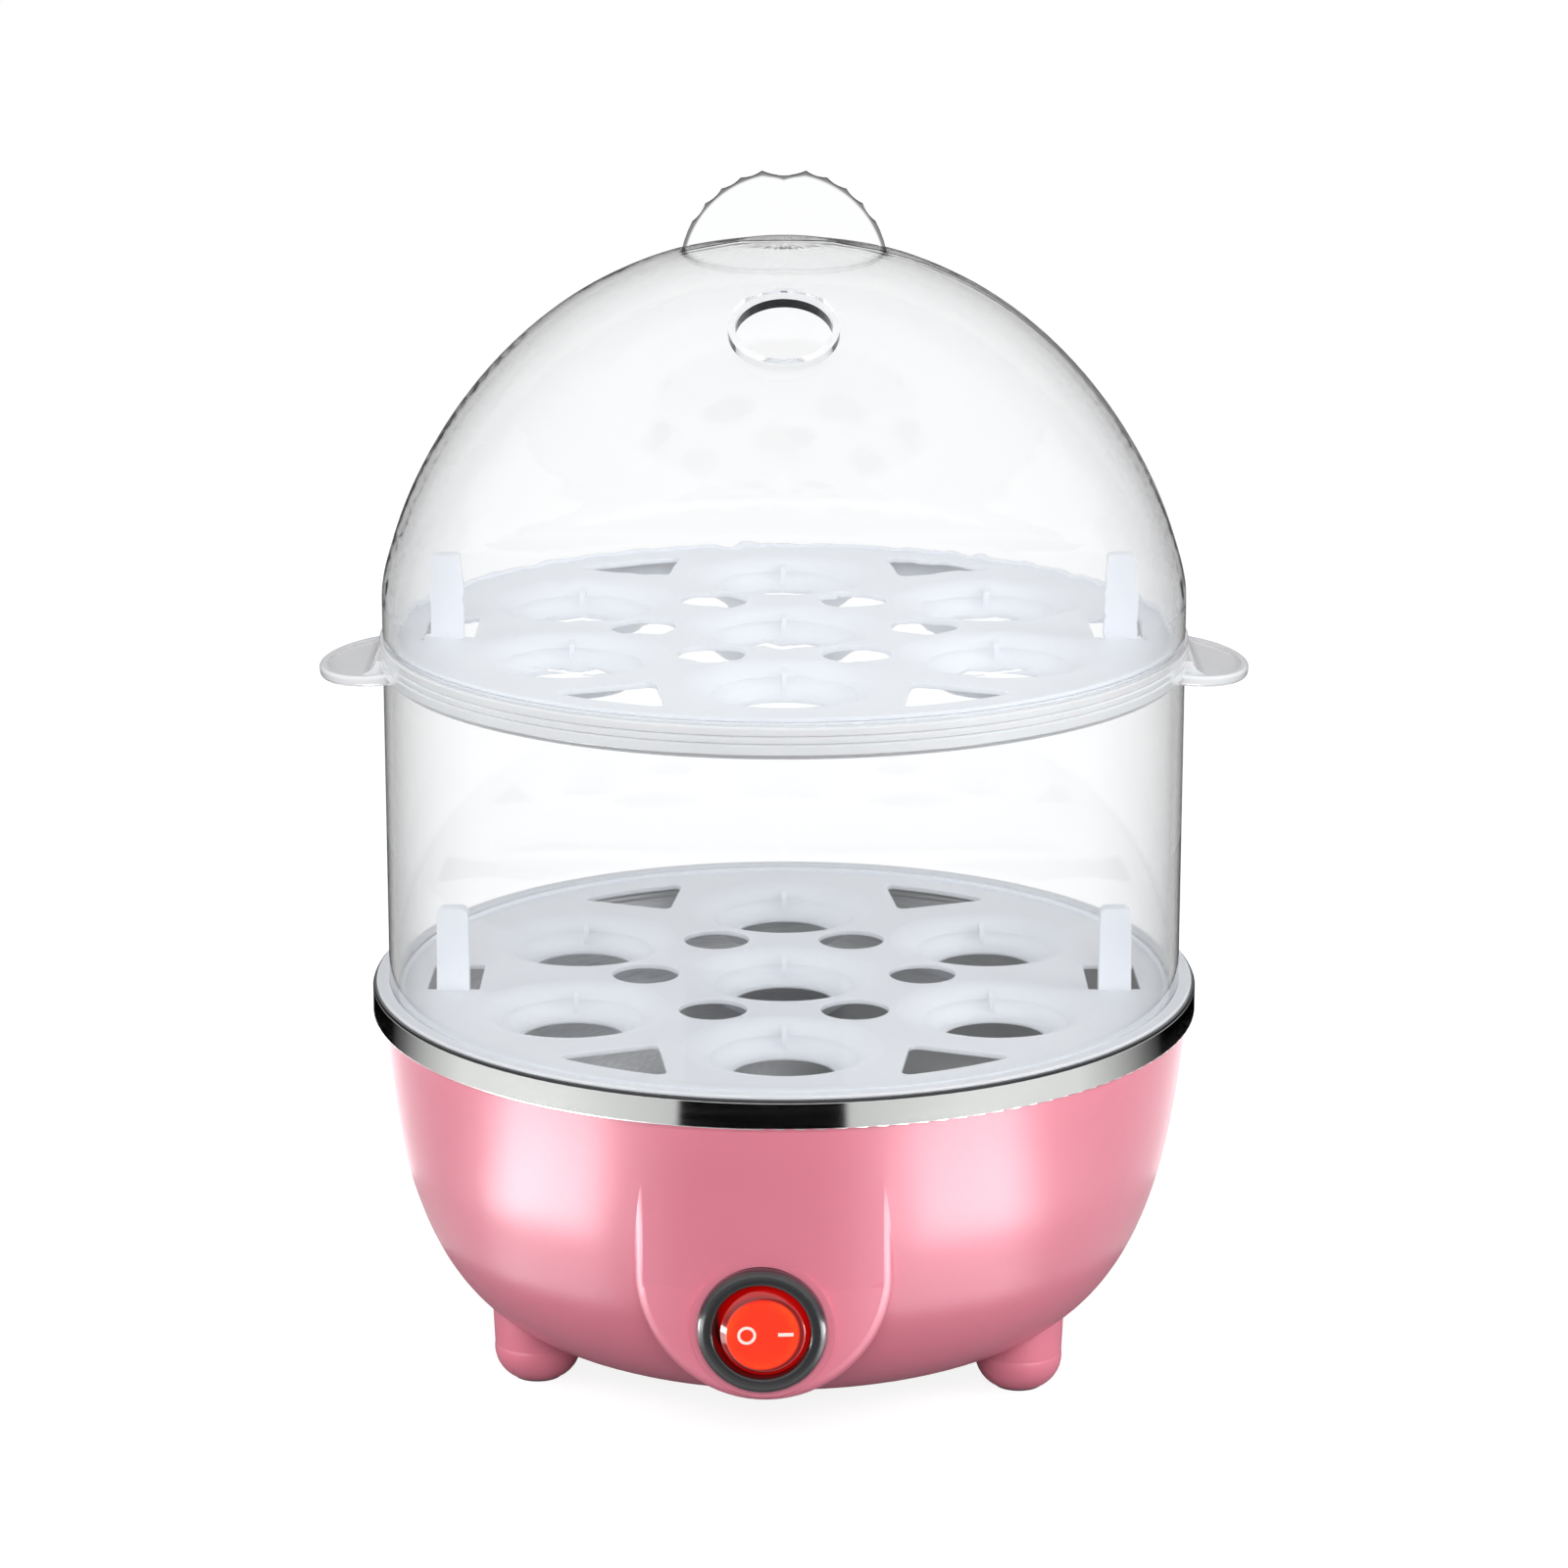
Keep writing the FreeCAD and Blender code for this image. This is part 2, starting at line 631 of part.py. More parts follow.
def rim_bead():
    """Black rubber bead set in the band's upper edge, under the lower tray's raised edge."""
    high = BAND_Z[1]
    top = high + BEAD_H
    return spin(outline(
        (BEAD_INNER_R, high - BEAD_SEAT), (BAND_R - 0.5, high - BEAD_SEAT), (BAND_R - 0.5, high),
        (BAND_R - 0.05, high), (BAND_R - 0.25, top), (BEAD_INNER_R, top)))


def pan_seal():
    return tube(77.7, 75.9, BOWL_TOP, PAN_LEDGE_Z - PAN_T)


def heating_pan():
    top = PAN_LEDGE_Z
    floor = PAN_FLOOR_Z
    under = PAN_T
    return spin(outline(
        (0, floor), (57, floor), (63.4, floor + 2.0, 67.2, floor + 7.6),
        (72.0, top - 2.2), (72.6, top - 0.7, 74.0, top),
        (77.6, top), (77.6, top - under), (74.3, top - under),
        (73.3, top - 1.4, 72.9, top - 2.4),
        (68.1, floor + 7.2), (64.0, floor + 1.3, 57.1, floor - under), (0, floor - under)))


# ---------------------------------------------------------------- heater
def heater_path():
    """Centre line of the ring element: a wide arc whose two ends turn down."""
    first = HEATER_GAP_ANGLE + HEATER_HALF_GAP
    last = HEATER_GAP_ANGLE - HEATER_HALF_GAP + 360
    a = polar(HEATER_R, first, HEATER_Z)
    b = polar(HEATER_R, last, HEATER_Z)
    middle = polar(HEATER_R, HEATER_GAP_ANGLE + 180, HEATER_Z)

    def turn_down(point, towards):
        drop = V(0, 0, -HEATER_BEND_R)
        end = point + towards * HEATER_BEND_R + drop
        centre = point + drop
        way = (towards + UP).normalize()
        return end, centre + way * HEATER_BEND_R

    end_a, mid_a = turn_down(a, polar(1, first - 90))
    end_b, mid_b = turn_down(b, polar(1, last + 90))
    low_a = V(end_a.x, end_a.y, HEATER_END_Z)
    low_b = V(end_b.x, end_b.y, HEATER_END_Z)
    wire = Part.Wire([
        Part.LineSegment(low_a, end_a).toShape(),
        Part.Arc(end_a, mid_a, a).toShape(),
        Part.Arc(a, middle, b).toShape(),
        Part.Arc(b, mid_b, end_b).toShape(),
        Part.LineSegment(end_b, low_b).toShape(),
    ])
    return wire, low_a, low_b


def heater_tube():
    wire, low_a, low_b = heater_path()
    section = Part.Wire(Part.Circle(low_a, UP, HEATER_TUBE_R).toShape())
    return wire.makePipeShell([section], True, True)


def heater_ends():
    ends = []
    for low in heater_path()[1:]:
        ends.append(cylinder(2.6, HEATER_END_Z - 2.0, HEATER_END_Z, low))
    return ends


def heater_pins():
    return [cylinder(1.0, HEATER_END_Z - 8.0, HEATER_END_Z - 2.0, low) for low in heater_path()[1:]]


def heat_spreader():
    disc = cylinder(SPREADER_R, *SPREADER_Z)
    groove = Part.makeTorus(HEATER_R, HEATER_TUBE_R + RUNNING_FIT, V(0, 0, HEATER_Z))
    tools = [groove]
    for side in (-1, 1):
        tools.append(cylinder(1.5, 40, 49.5, V(side * 12.0, 0, 0)))
    tools.append(cylinder(1.5, 40, 49.5, V(7.6, FUSE_Y, 0)))
    return cut(disc, tools)


def heat_shield():
    low, high = SHIELD_Z
    plate = spin(outline(
        (29.0, low), (SHIELD_R, low), (SHIELD_R + 1.6, low + 0.6, SHIELD_R + 2.2, low + 2.2),
        (SHIELD_R + 2.2, low + 7.0), (SHIELD_R + 1.4, low + 7.0), (SHIELD_R + 1.4, low + 2.4),
        (SHIELD_R + 1.0, low + 1.3, SHIELD_R, high), (29.0, high)))
    tools = [cylinder(2.2, low - 1, high + 1, polar(STUD_RING_R, a)) for a in STUD_ANGLES]
    tools += [cylinder(2.2, low - 1, high + 1, polar(FOOT_RING_R, a)) for a in FOOT_ANGLES]
    tools += [cylinder(4.2, low - 1, high + 1, end) for end in heater_path()[1:]]
    tools.append(block((-13, 13), (-70, -45), (low - 1, low + 8)))
    return cut(plate, tools)


def pan_studs():
    return [cylinder(M4_R, 28.0, SPREADER_Z[0], polar(STUD_RING_R, a)) for a in STUD_ANGLES]


def stud_spacers():
    return [tube(3.4, M4_R, SHIELD_Z[1], SPREADER_Z[0], polar(STUD_RING_R, a)) for a in STUD_ANGLES]


def stud_nuts():
    nuts = []
    for a in STUD_ANGLES:
        centre = polar(STUD_RING_R, a)
        top = SHIELD_Z[0] - (0.8 if a == STUD_ANGLES[0] else 0.0)
        nut = hexagon(M4_NUT_FLATS, top - M4_NUT_T, top, centre)
        nuts.append(nut.cut(cylinder(M4_R, 20, 50, centre)))
    return nuts


def shield_nuts():
    nuts = []
    for a in FOOT_ANGLES:
        centre = polar(FOOT_RING_R, a)
        nut = hexagon(M4_NUT_FLATS, SHIELD_Z[1], SHIELD_Z[1] + M4_NUT_T, centre)
        nuts.append(nut.cut(cylinder(M4_R, 20, 50, centre)))
    return nuts


def housing_screws():
    screws = []
    for a in FOOT_ANGLES:
        centre = polar(FOOT_RING_R, a)
        head = cylinder(3.9, 8.9, 11.5, centre)
        head = head.makeFillet(0.8, [e for e in head.Edges if e.BoundBox.ZMax < 9.0])
        slot = block((-2.2, 2.2), (-0.45, 0.45), (8.0, 10.2))
        cross = fuse([slot, turned(slot, 90)])
        screw = head.fuse(cylinder(M4_R, 11.5, 38.0, centre))
        screws.append(screw.cut(moved(cross, centre)))
    return screws


def foot_pads():
    return [cylinder(PAD_R, 0, 1.6, polar(FOOT_RING_R, a)) for a in FOOT_ANGLES]


# ---------------------------------------------------------------- bottom cover
def bottom_cover():
    low, high = COVER_Z
    disc = cylinder(COVER_R, low, high)
    rim = [e for e in disc.Edges if e.BoundBox.ZMax < low + 0.1 and len(e.Vertexes) == 1]
    disc = disc.makeFillet(0.5, rim)
    tools = []
    for a in COVER_SCREW_ANGLES:
        centre = polar(COVER_SCREW_RING_R, a)
        tools.append(cylinder(1.6, low - 1, high + 1, centre))
        tools.append(Part.makeCone(3.1, 1.5, 1.5, V(centre.x, centre.y, low - 0.05), UP))
    for ring in (15.0, 24.0):
        for i in range(12):
            vent = block((ring, ring + 6.0), (-0.9, 0.9), (low - 1, high + 1))
            tools.append(turned(vent, 30 * i))
    return cut(disc, tools)


def cover_screws():
    screws = []
    low = COVER_Z[0]
    for a in COVER_SCREW_ANGLES:
        centre = polar(COVER_SCREW_RING_R, a)
        head = Part.makeCone(2.85, 1.5, 1.35, V(centre.x, centre.y, low + 0.05), UP)
        slot = moved(block((-2.0, 2.0), (-0.35, 0.35), (low - 1, low + 0.8)), centre)
        screws.append(head.fuse(cylinder(1.25, low + 1.2, 15.0, centre)).cut(slot))
    return screws


# ---------------------------------------------------------------- thermostat and fuse
def thermostat_cap():
    return cylinder(8.2, SPREADER_Z[0] - 1.5, SPREADER_Z[0])


def thermostat_body():
    body = cylinder(7.6, 35.0, SPREADER_Z[0] - 1.5)
    rim = [e for e in body.Edges if e.BoundBox.ZMax < 35.1 and len(e.Vertexes) == 1]
    return body.makeFillet(0.6, rim)


def thermostat_bracket():
    low = SPREADER_Z[0] - 2.3
    plate = block((-16, 16), (-4.5, 4.5), (low, low + 0.8)).fuse(cylinder(10.0, low, low + 0.8))
    tools = [cylinder(7.7, 30, 50)]
    feet = []
    for side in (-1, 1):
        tools.append(cylinder(1.6, 30, 50, V(side * 12.0, 0, 0)))
        pad = tube(2.8, 1.6, low + 0.8, SPREADER_Z[0], V(side * 12.0, 0, 0))
        feet.append(pad)
    return fuse([cut(plate, tools)] + feet)


def thermostat_screws():
    low = SPREADER_Z[0] - 2.3
    screws = []
    for side in (-1, 1):
        centre = V(side * 12.0, 0, 0)
        screws.append(cylinder(2.6, low - 2.0, low, centre).fuse(cylinder(1.5, low, 49.0, centre)))
    return screws


def thermostat_blades():
    return [block((x - 0.4, x + 0.4), (-3.15, 3.15), (27.0, 35.0)) for x in (-4.5, 4.5)]


def thermal_fuse():
    """Thermal cut-out in its glass-fibre sleeve."""
    z = SPREADER_Z[0] - FUSE_SLEEVE_R
    return rod(FUSE_SLEEVE_R, V(-12, FUSE_Y, z), V(12, FUSE_Y, z))


def fuse_clip():
    z = SPREADER_Z[0] - FUSE_SLEEVE_R
    strap = rod(FUSE_SLEEVE_R + 0.7, V(-3, FUSE_Y, z), V(3, FUSE_Y, z))
    strap = strap.common(block((-4, 4), (FUSE_Y - 6, FUSE_Y + 6), (z - 8, z)))
    legs = block((-3, 3), (FUSE_Y - 3.5, FUSE_Y + 3.5), (z, SPREADER_Z[0]))
    wing = block((-3, 11), (FUSE_Y + 2.8, FUSE_Y + 3.5), (z, SPREADER_Z[0]))
    whole = fuse([strap, legs, wing])
    whole = whole.cut(rod(FUSE_SLEEVE_R, V(-20, FUSE_Y, z), V(20, FUSE_Y, z)))
    whole = whole.cut(block((-20, 20), (FUSE_Y - 2.8, FUSE_Y + 2.8), (z, SPREADER_Z[0])))
    return whole


# ---------------------------------------------------------------- switch
def switch_body():
    flange = switch_rod(SWITCH_FLANGE_R, SWITCH_SEAT_Y, SWITCH_SEAT_Y - SWITCH_FLANGE_T)
    rim = [e for e in flange.Edges if e.BoundBox.YMax < SWITCH_SEAT_Y - 1 and len(e.Vertexes) == 1]
    flange = flange.makeFillet(1.3, rim)
    barrel = switch_rod(SWITCH_BARREL_R, SWITCH_SEAT_Y, SWITCH_BACK_Y)
    front = SWITCH_SEAT_Y - SWITCH_FLANGE_T
    tools = [switch_rod(ROCKER_CAVITY_R, front - 1, -66.5), switch_rod(2.6, -70, -59.5)]
    hole = ROCKER_PIN_R + RUNNING_FIT
    tools.append(cylinder(hole, SWITCH_Z - 12, SWITCH_Z + 12, V(0, ROCKER_PIVOT_Y, 0)))
    body = cut(flange.fuse(barrel), tools)
    mouth = []
    for edge in body.Edges:
        box = edge.BoundBox
        if box.YMax < front + 0.05 and box.XLength < 2 * ROCKER_CAVITY_R + 0.5:
            mouth.append(edge)
    return body.makeFillet(0.5, mouth)


def rocker():
    """Round rocker with two pivot stubs, turned to its on position."""
    face_y = -78.3
    skirt_y = -76.9
    back_y = -69.5
    skirt = switch_rod(ROCKER_R, skirt_y, back_y)
    nose_base = V(0, skirt_y, SWITCH_Z)
    nose = Part.makeCone(ROCKER_R, ROCKER_FACE_R, skirt_y - face_y, nose_base, V(0, -1, 0))
    hollow = switch_rod(ROCKER_R - 1.6, face_y + 2.2, back_y + 1)
    pins = cylinder(ROCKER_PIN_R, SWITCH_Z - 9.7, SWITCH_Z + 9.7, V(0, ROCKER_PIVOT_Y, 0))
    shell = skirt.fuse(nose).cut(hollow)
    pins = pins.cut(switch_rod(ROCKER_R - 1.6, -80, -60))
    whole = fuse([shell, pins])
    rim = [e for e in whole.Edges if e.BoundBox.YMax < face_y + 0.05 and len(e.Vertexes) == 1]
    whole = whole.makeFillet(0.4, rim)
    return turned(whole, ROCKER_REST_TILT, V(0, ROCKER_PIVOT_Y, 0))


def rocker_marks():
    """Raised off and on signs on the rocker's face: a small ring and a bar."""
    back = -78.35
    front = -78.55
    ring = rod(1.7, V(-3.5, back, SWITCH_Z), V(-3.5, front, SWITCH_Z))
    ring = ring.cut(rod(1.2, V(-3.5, back + 1, SWITCH_Z), V(-3.5, front - 1, SWITCH_Z)))
    bar = block((2.2, 5.0), (front, back), (SWITCH_Z - 0.3, SWITCH_Z + 0.3))
    pivot = V(0, ROCKER_PIVOT_Y, 0)
    return [turned(moved(piece, V(0, 0.05, 0)), ROCKER_REST_TILT, pivot) for piece in (ring, bar)]


def switch_lamp():
    bulb = switch_rod(2.2, -66.2, -60.0)
    tip = [e for e in bulb.Edges if e.BoundBox.YMax < -66 and len(e.Vertexes) == 1]
    return bulb.makeFillet(1.6, tip)


def switch_blades():
    return [block((x - 0.4, x + 0.4), (SWITCH_BACK_Y, -50.0), (SWITCH_Z - 2.4, SWITCH_Z + 2.4))
            for x in (-5.5, 0.0, 5.5)]


# ---------------------------------------------------------------- cord inlet, terminals and wiring
def cord_bushing():
    outer = INLET_FACE_Y + 2.2
    inner = INLET_FACE_Y - 8.0
    collar = inlet_rod(7.4, INLET_FACE_Y, outer)
    rim = [e for e in collar.Edges if e.BoundBox.YMin > outer - 0.1 and len(e.Vertexes) == 1]
    collar = collar.makeFillet(0.8, rim)
    neck = inlet_rod(5.15, inner, INLET_FACE_Y)
    keeper = inlet_rod(6.5, inner, INLET_FACE_Y - 2.2)
    return fuse([collar, neck, keeper]).cut(inlet_rod(CORD_HOLE_R, inner - 1, outer + 1))


def terminal_block():
    body = block(BLOCK_X, BLOCK_Y, BLOCK_Z)
    tools = []
    for x in BLOCK_WAYS:
        tools.append(rod(2.0, V(x, BLOCK_Y[1] + 1, 18), V(x, BLOCK_Y[1] - 4, 18)))
        tools.append(cylinder(1.6, 20.0, 24.0, V(x, 40.5, 0)))
    return cut(body, tools)


def terminal_screws():
    screws = []
    for x in BLOCK_WAYS:
        centre = V(x, 40.5, 0)
        slot = block((x - 2, x + 2), (40.2, 40.8), (21.8, 24))
        screws.append(cylinder(1.5, 20.0, 22.5, centre).cut(slot))
    return screws


def earth_tag():
    stud = polar(STUD_RING_R, STUD_ANGLES[0])
    z1 = SHIELD_Z[0]
    z0 = z1 - 0.8
    tip = V(31.3, 27.9, z0)
    away = (V(tip.x - stud.x, tip.y - stud.y, 0)).normalize()
    side = V(-away.y, away.x, 0) * 2.0
    root = V(stud.x, stud.y, z0) + away * 3.0
    far = tip + away * 2.0
    tail = Part.Face(Part.makePolygon([root + side, far + side, far - side, root - side, root + side]))
    ring = cylinder(4.0, z0, z1, stud)
    return fuse([ring, tail.extrude(V(0, 0, 0.8))]).cut(cylinder(M4_R, 20, 50, stud))


def spade_connectors():
    """Insulated push-on connectors on the switch, thermostat and heater terminals."""
    pieces = []
    for blade in switch_blades():
        x = blade.BoundBox.Center.x
        sleeve = block((x - 1.6, x + 1.6), (-56.0, -46.0), (SWITCH_Z - 3.2, SWITCH_Z + 3.2))
        pieces.append(sleeve.cut(blade))
    for blade in thermostat_blades():
        x = blade.BoundBox.Center.x
        sleeve = block((x - 1.6, x + 1.6), (-4.2, 4.2), (19.0, 33.0))
        pieces.append(sleeve.cut(blade))
    for pin in heater_pins():
        c = pin.BoundBox.Center
        pieces.append(cylinder(2.5, 17.0, 27.0, c).cut(pin))
    return pieces


def wire_along(*points):
    return swept_round([V(*p) for p in points], WIRE_R, WIRE_BEND)


def live_wires():
    low_a, low_b = heater_path()[1:]
    fuse_z = SPREADER_Z[0] - FUSE_SLEEVE_R
    return [
        wire_along((13, 35, 18), (13, 24, 18), (11.5, -12, 17), (0, -34, 26), (0, -40, SWITCH_Z),
                   (0, -46, SWITCH_Z)),
        wire_along((-5.5, -46, SWITCH_Z), (-5.5, -41, SWITCH_Z), (-5.5, -34, 24), (-4.5, -14, 12),
                   (-4.5, 0, 12), (-4.5, 0, 19)),
        wire_along((4.5, 0, 19), (4.5, 0, 12), (17.5, -20, 12), (17.5, -20, fuse_z), (12, -20, fuse_z)),
        wire_along((-12, -20, fuse_z), (-17.5, -20, fuse_z), (-17.5, -20, 12.5),
                   (low_a.x, low_a.y, 12), (low_a.x, low_a.y, 17)),
    ]


def neutral_wires():
    low_a, low_b = heater_path()[1:]
    return [
        wire_along((20, 35, 15.5), (20, 31, 15.5), (16, 26, 11.5), (low_b.x, low_b.y - 9, 11.5),
                   (low_b.x, low_b.y, 11.5), (low_b.x, low_b.y, 17)),
        wire_along((20, 35, 20.5), (20, 30, 20.5), (22.5, 22, 17), (22.5, -20, 16), (5.5, -35, 26),
                   (5.5, -40, SWITCH_Z), (5.5, -46, SWITCH_Z)),
    ]


def earth_wire():
    return wire_along((27, 35, 18), (27, 29.5, 18), (31.3, 27.9, 22), (31.3, 27.9, SHIELD_Z[0] - 0.8))


# ---------------------------------------------------------------- write every sub-part
def stack(shape):
    return turned(shape, STACK_TURN)


save("lid", stack(lid()))
save("upper_egg_tray", stack(egg_tray(TRAY_TOP_HIGH)))
lower_tray_solid = fuse([egg_tray(TRAY_TOP_LOW), raised_edge()])
save("lower_egg_tray", stack(lower_tray_solid))
save("steam_ring", stack(steam_ring()))
save("ring_collar", stack(ring_collar()))
save("housing", housing())
save("trim_band", trim_band())
save("rim_bead", rim_bead())
save("pan_seal", pan_seal())
save("heating_pan", heating_pan())
save("heat_spreader", heat_spreader())
save("heater_tube", heater_tube())
save("heater_end_beads", heater_ends())
save("heater_pins", heater_pins())
save("heat_shield", heat_shield())
save("pan_studs", pan_studs())
save("stud_spacers", stud_spacers())
save("stud_nuts", stud_nuts())
save("shield_nuts", shield_nuts())
save("housing_screws", housing_screws())
save("foot_pads", foot_pads())
save("bottom_cover", bottom_cover())
save("cover_screws", cover_screws())
save("thermostat_cap", thermostat_cap())
save("thermostat_body", thermostat_body())
save("thermostat_bracket", thermostat_bracket())
save("thermostat_screws", thermostat_screws())
save("thermostat_blades", thermostat_blades())
save("thermal_fuse", thermal_fuse())
save("fuse_clip", fuse_clip())
save("switch_body", switch_body())
save("rocker", rocker())
save("rocker_marks", rocker_marks())
save("switch_lamp", switch_lamp())
save("switch_blades", switch_blades())
save("cord_bushing", cord_bushing())
save("terminal_block", terminal_block())
save("terminal_screws", terminal_screws())
save("earth_tag", earth_tag())
save("spade_connectors", spade_connectors())
save("live_wires", live_wires())
save("neutral_wires", neutral_wires())
save("earth_wire", earth_wire())
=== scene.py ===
"""Looks of the two-tier egg cooker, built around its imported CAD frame.

Metres, +Z up, switch towards -Y.
"""
import json
import math

import bpy
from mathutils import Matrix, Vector


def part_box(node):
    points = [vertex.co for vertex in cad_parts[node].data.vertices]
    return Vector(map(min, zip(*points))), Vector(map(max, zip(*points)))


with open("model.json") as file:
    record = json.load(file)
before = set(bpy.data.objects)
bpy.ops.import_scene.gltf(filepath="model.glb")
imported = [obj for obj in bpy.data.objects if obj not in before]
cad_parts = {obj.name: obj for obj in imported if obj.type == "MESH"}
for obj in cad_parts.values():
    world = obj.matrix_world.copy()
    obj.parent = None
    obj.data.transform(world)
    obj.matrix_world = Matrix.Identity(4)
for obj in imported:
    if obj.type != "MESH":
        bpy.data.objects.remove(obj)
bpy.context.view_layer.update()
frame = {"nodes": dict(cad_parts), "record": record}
NODES = frame["nodes"]

MM = 0.001
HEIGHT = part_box("lid")[1].z                     # foot pads to the top of the finger tab
STACK_TURN = math.radians(3.0)                  # the stack is turned this much on its base

TAB_CENTRE_Z = HEIGHT - 19.3 * MM               # middle of the finger tab's round outline
TAB_RIM = (18.75 * MM, 19.15 * MM)              # its painted rim shade sets in between these distances
# how much the painted shade darkens the tab's rim
TAB_RIM_SHADE = 0.78
TAB_FOOT = 0.4 * MM                             # the painted rim shade stops this far above that middle
TAB_OUTSIDE = 20.0 * MM
TAB_HALF_DEPTH = 2.4 * MM
TAB_DIP = (1.2 * MM, 4.0 * MM)                  # depth and half width of the dip on top of it

BEZEL_MIDDLE_R = 9.9 * MM                       # crown of the switch's flange
BEZEL_CROWN_R = 2.4 * MM
ROCKER_FACE = (4.6 * MM, 6.4 * MM)              # the face grows yellower between these distances
ROCKER_STEP = (6.3 * MM, 6.9 * MM)
ROCKER_SKIRT = (7.0 * MM, 7.7 * MM)

BRUSH_DRAWN_OUT = 0.004                         # how slowly the brushing changes round the Z axis

WHITE = (1.0, 1.0, 1.0, 1.0)
BLACK = (0.0, 0.0, 0.0, 1.0)
AMBIENT = 0.50                                  # light from all round
FLOOR_LIFT = 0.86                               # brightness added to the table as the camera sees it
FLOOR_REACH = 9.0


# ---------------------------------------------------------------- node helpers
def srgb(r, g, b):
    """Linear colour of an 8-bit display colour."""
    def channel(value):
        v = value / 255
        return v / 12.92 if v <= 0.04045 else ((v + 0.055) / 1.055) ** 2.4
    return (channel(r), channel(g), channel(b), 1.0)


def fill_ramp(node, stops):
    """Give a colour ramp its (place, grey level) stops."""
    elements = node.color_ramp.elements
    elements[0].position, elements[-1].position = stops[0][0], stops[-1][0]
    for place, level in stops[1:-1]:
        elements.new(place)
    for element, (place, level) in zip(elements, stops):
        element.color = (level, level, level, 1.0)


class Shader:
    """A material with one Principled node, and short calls for the nodes that drive it."""

    def __init__(self, name):
        self.material = bpy.data.materials.new(name)
        self.material.use_nodes = True
        self.tree = self.material.node_tree
        self.surface = self.tree.nodes["Principled BSDF"]
        self.output = self.tree.nodes["Material Output"]
        self.place = self.node("ShaderNodeTexCoord").outputs["Object"]

    def node(self, kind, **settings):
        made = self.tree.nodes.new(kind)
        for key, value in settings.items():
            setattr(made, key, value)
        return made

    def link(self, source, target):
        self.tree.links.new(source, target)

    def set(self, **values):
        for key, value in values.items():
            self.surface.inputs[key.replace("_", " ")].default_value = value

    def stretched(self, scale):
        mapping = self.node("ShaderNodeMapping")
        mapping.inputs["Scale"].default_value = scale
        self.link(self.place, mapping.inputs["Vector"])
        return mapping.outputs["Vector"]

    def noise(self, scale, detail=3.0, roughness=0.55, source=None):
        made = self.node("ShaderNodeTexNoise")
        made.inputs["Scale"].default_value = scale
        made.inputs["Detail"].default_value = detail
        made.inputs["Roughness"].default_value = roughness
        self.link(source or self.place, made.inputs["Vector"])
        return made.outputs["Fac"]

    def span(self, value, low, high, from_low=0.3, from_high=0.7):
        """The value's stretch from from_low to from_high, spread over low to high."""
        made = self.node("ShaderNodeMapRange")
        made.inputs["From Min"].default_value = from_low
        made.inputs["From Max"].default_value = from_high
        made.inputs["To Min"].default_value = low
        made.inputs["To Max"].default_value = high
        self.link(value, made.inputs["Value"])
        return made.outputs["Result"]

    def math(self, operation, a, b=None):
        made = self.node("ShaderNodeMath", operation=operation)
        for socket, value in zip(made.inputs, (a, b)):
            if value is None:
                continue
            if isinstance(value, (int, float)):
                socket.default_value = value
            else:
                self.link(value, socket)
        return made.outputs[0]

    def length(self, a, b):
        squares = self.math("ADD", self.math("MULTIPLY", a, a), self.math("MULTIPLY", b, b))
        return self.math("SQRT", squares)

    def mix(self, factor, low, high):
        made = self.node("ShaderNodeMix", data_type="RGBA")
        self.link(factor, made.inputs["Factor"])
        for name, value in (("A", low), ("B", high)):
            socket = [s for s in made.inputs if s.name == name and s.type == "RGBA"][0]
            if isinstance(value, tuple):
                socket.default_value = value
            else:
                self.link(value, socket)
        return [s for s in made.outputs if s.type == "RGBA"][0]

    def bump(self, height, strength, distance):
        made = self.node("ShaderNodeBump")
        made.inputs["Strength"].default_value = strength
        made.inputs["Distance"].default_value = distance
        self.link(height, made.inputs["Height"])
        return made.outputs["Normal"]

    def ramp(self, value, stops):
        """Grey level read off a curve of (value, level) pairs."""
        made = self.node("ShaderNodeValToRGB")
        fill_ramp(made, stops)
        self.link(value, made.inputs["Fac"])
        return made.outputs["Color"]

    def edges(self):
        """0 on flats, towards 1 on sharp outer edges."""
        point = self.node("ShaderNodeNewGeometry").outputs["Pointiness"]
        return self.span(point, 0.0, 1.0, 0.52, 0.60)

    def drive(self, name, value):
        self.link(value, self.surface.inputs[name])


def shade(colour, factor):
    return tuple(min(1.0, c * factor) for c in colour[:3]) + (1.0,)


# ---------------------------------------------------------------- materials
def moulded_gloss(name, colour, roughness=0.2, coat=0.35, subsurface=0.0, grain=0.02, mottle=0.05):
    """Glossy moulded plastic: slight mottling, faint orange peel and a slight unevenness of gloss."""
    s = Shader(name)
    s.set(IOR=1.49, Coat_Weight=coat, Coat_Roughness=0.06)
    if subsurface:
        s.set(Subsurface_Weight=subsurface, Subsurface_Scale=0.004)
        s.surface.inputs["Subsurface Radius"].default_value = (1.0, 0.6, 0.6)
    cloud = s.noise(22.0, 4.0)
    s.drive("Base Color", s.mix(s.span(cloud, 0, 1), shade(colour, 1 - mottle), shade(colour, 1 + mottle)))
    haze = s.noise(6.0, 5.0)
    s.drive("Roughness", s.math("ADD", s.span(haze, -0.012, 0.012, 0.1, 0.9), roughness))
    peel = s.noise(900.0, 2.0)
    s.drive("Normal", s.bump(peel, grain, 0.0004))
    return s.material


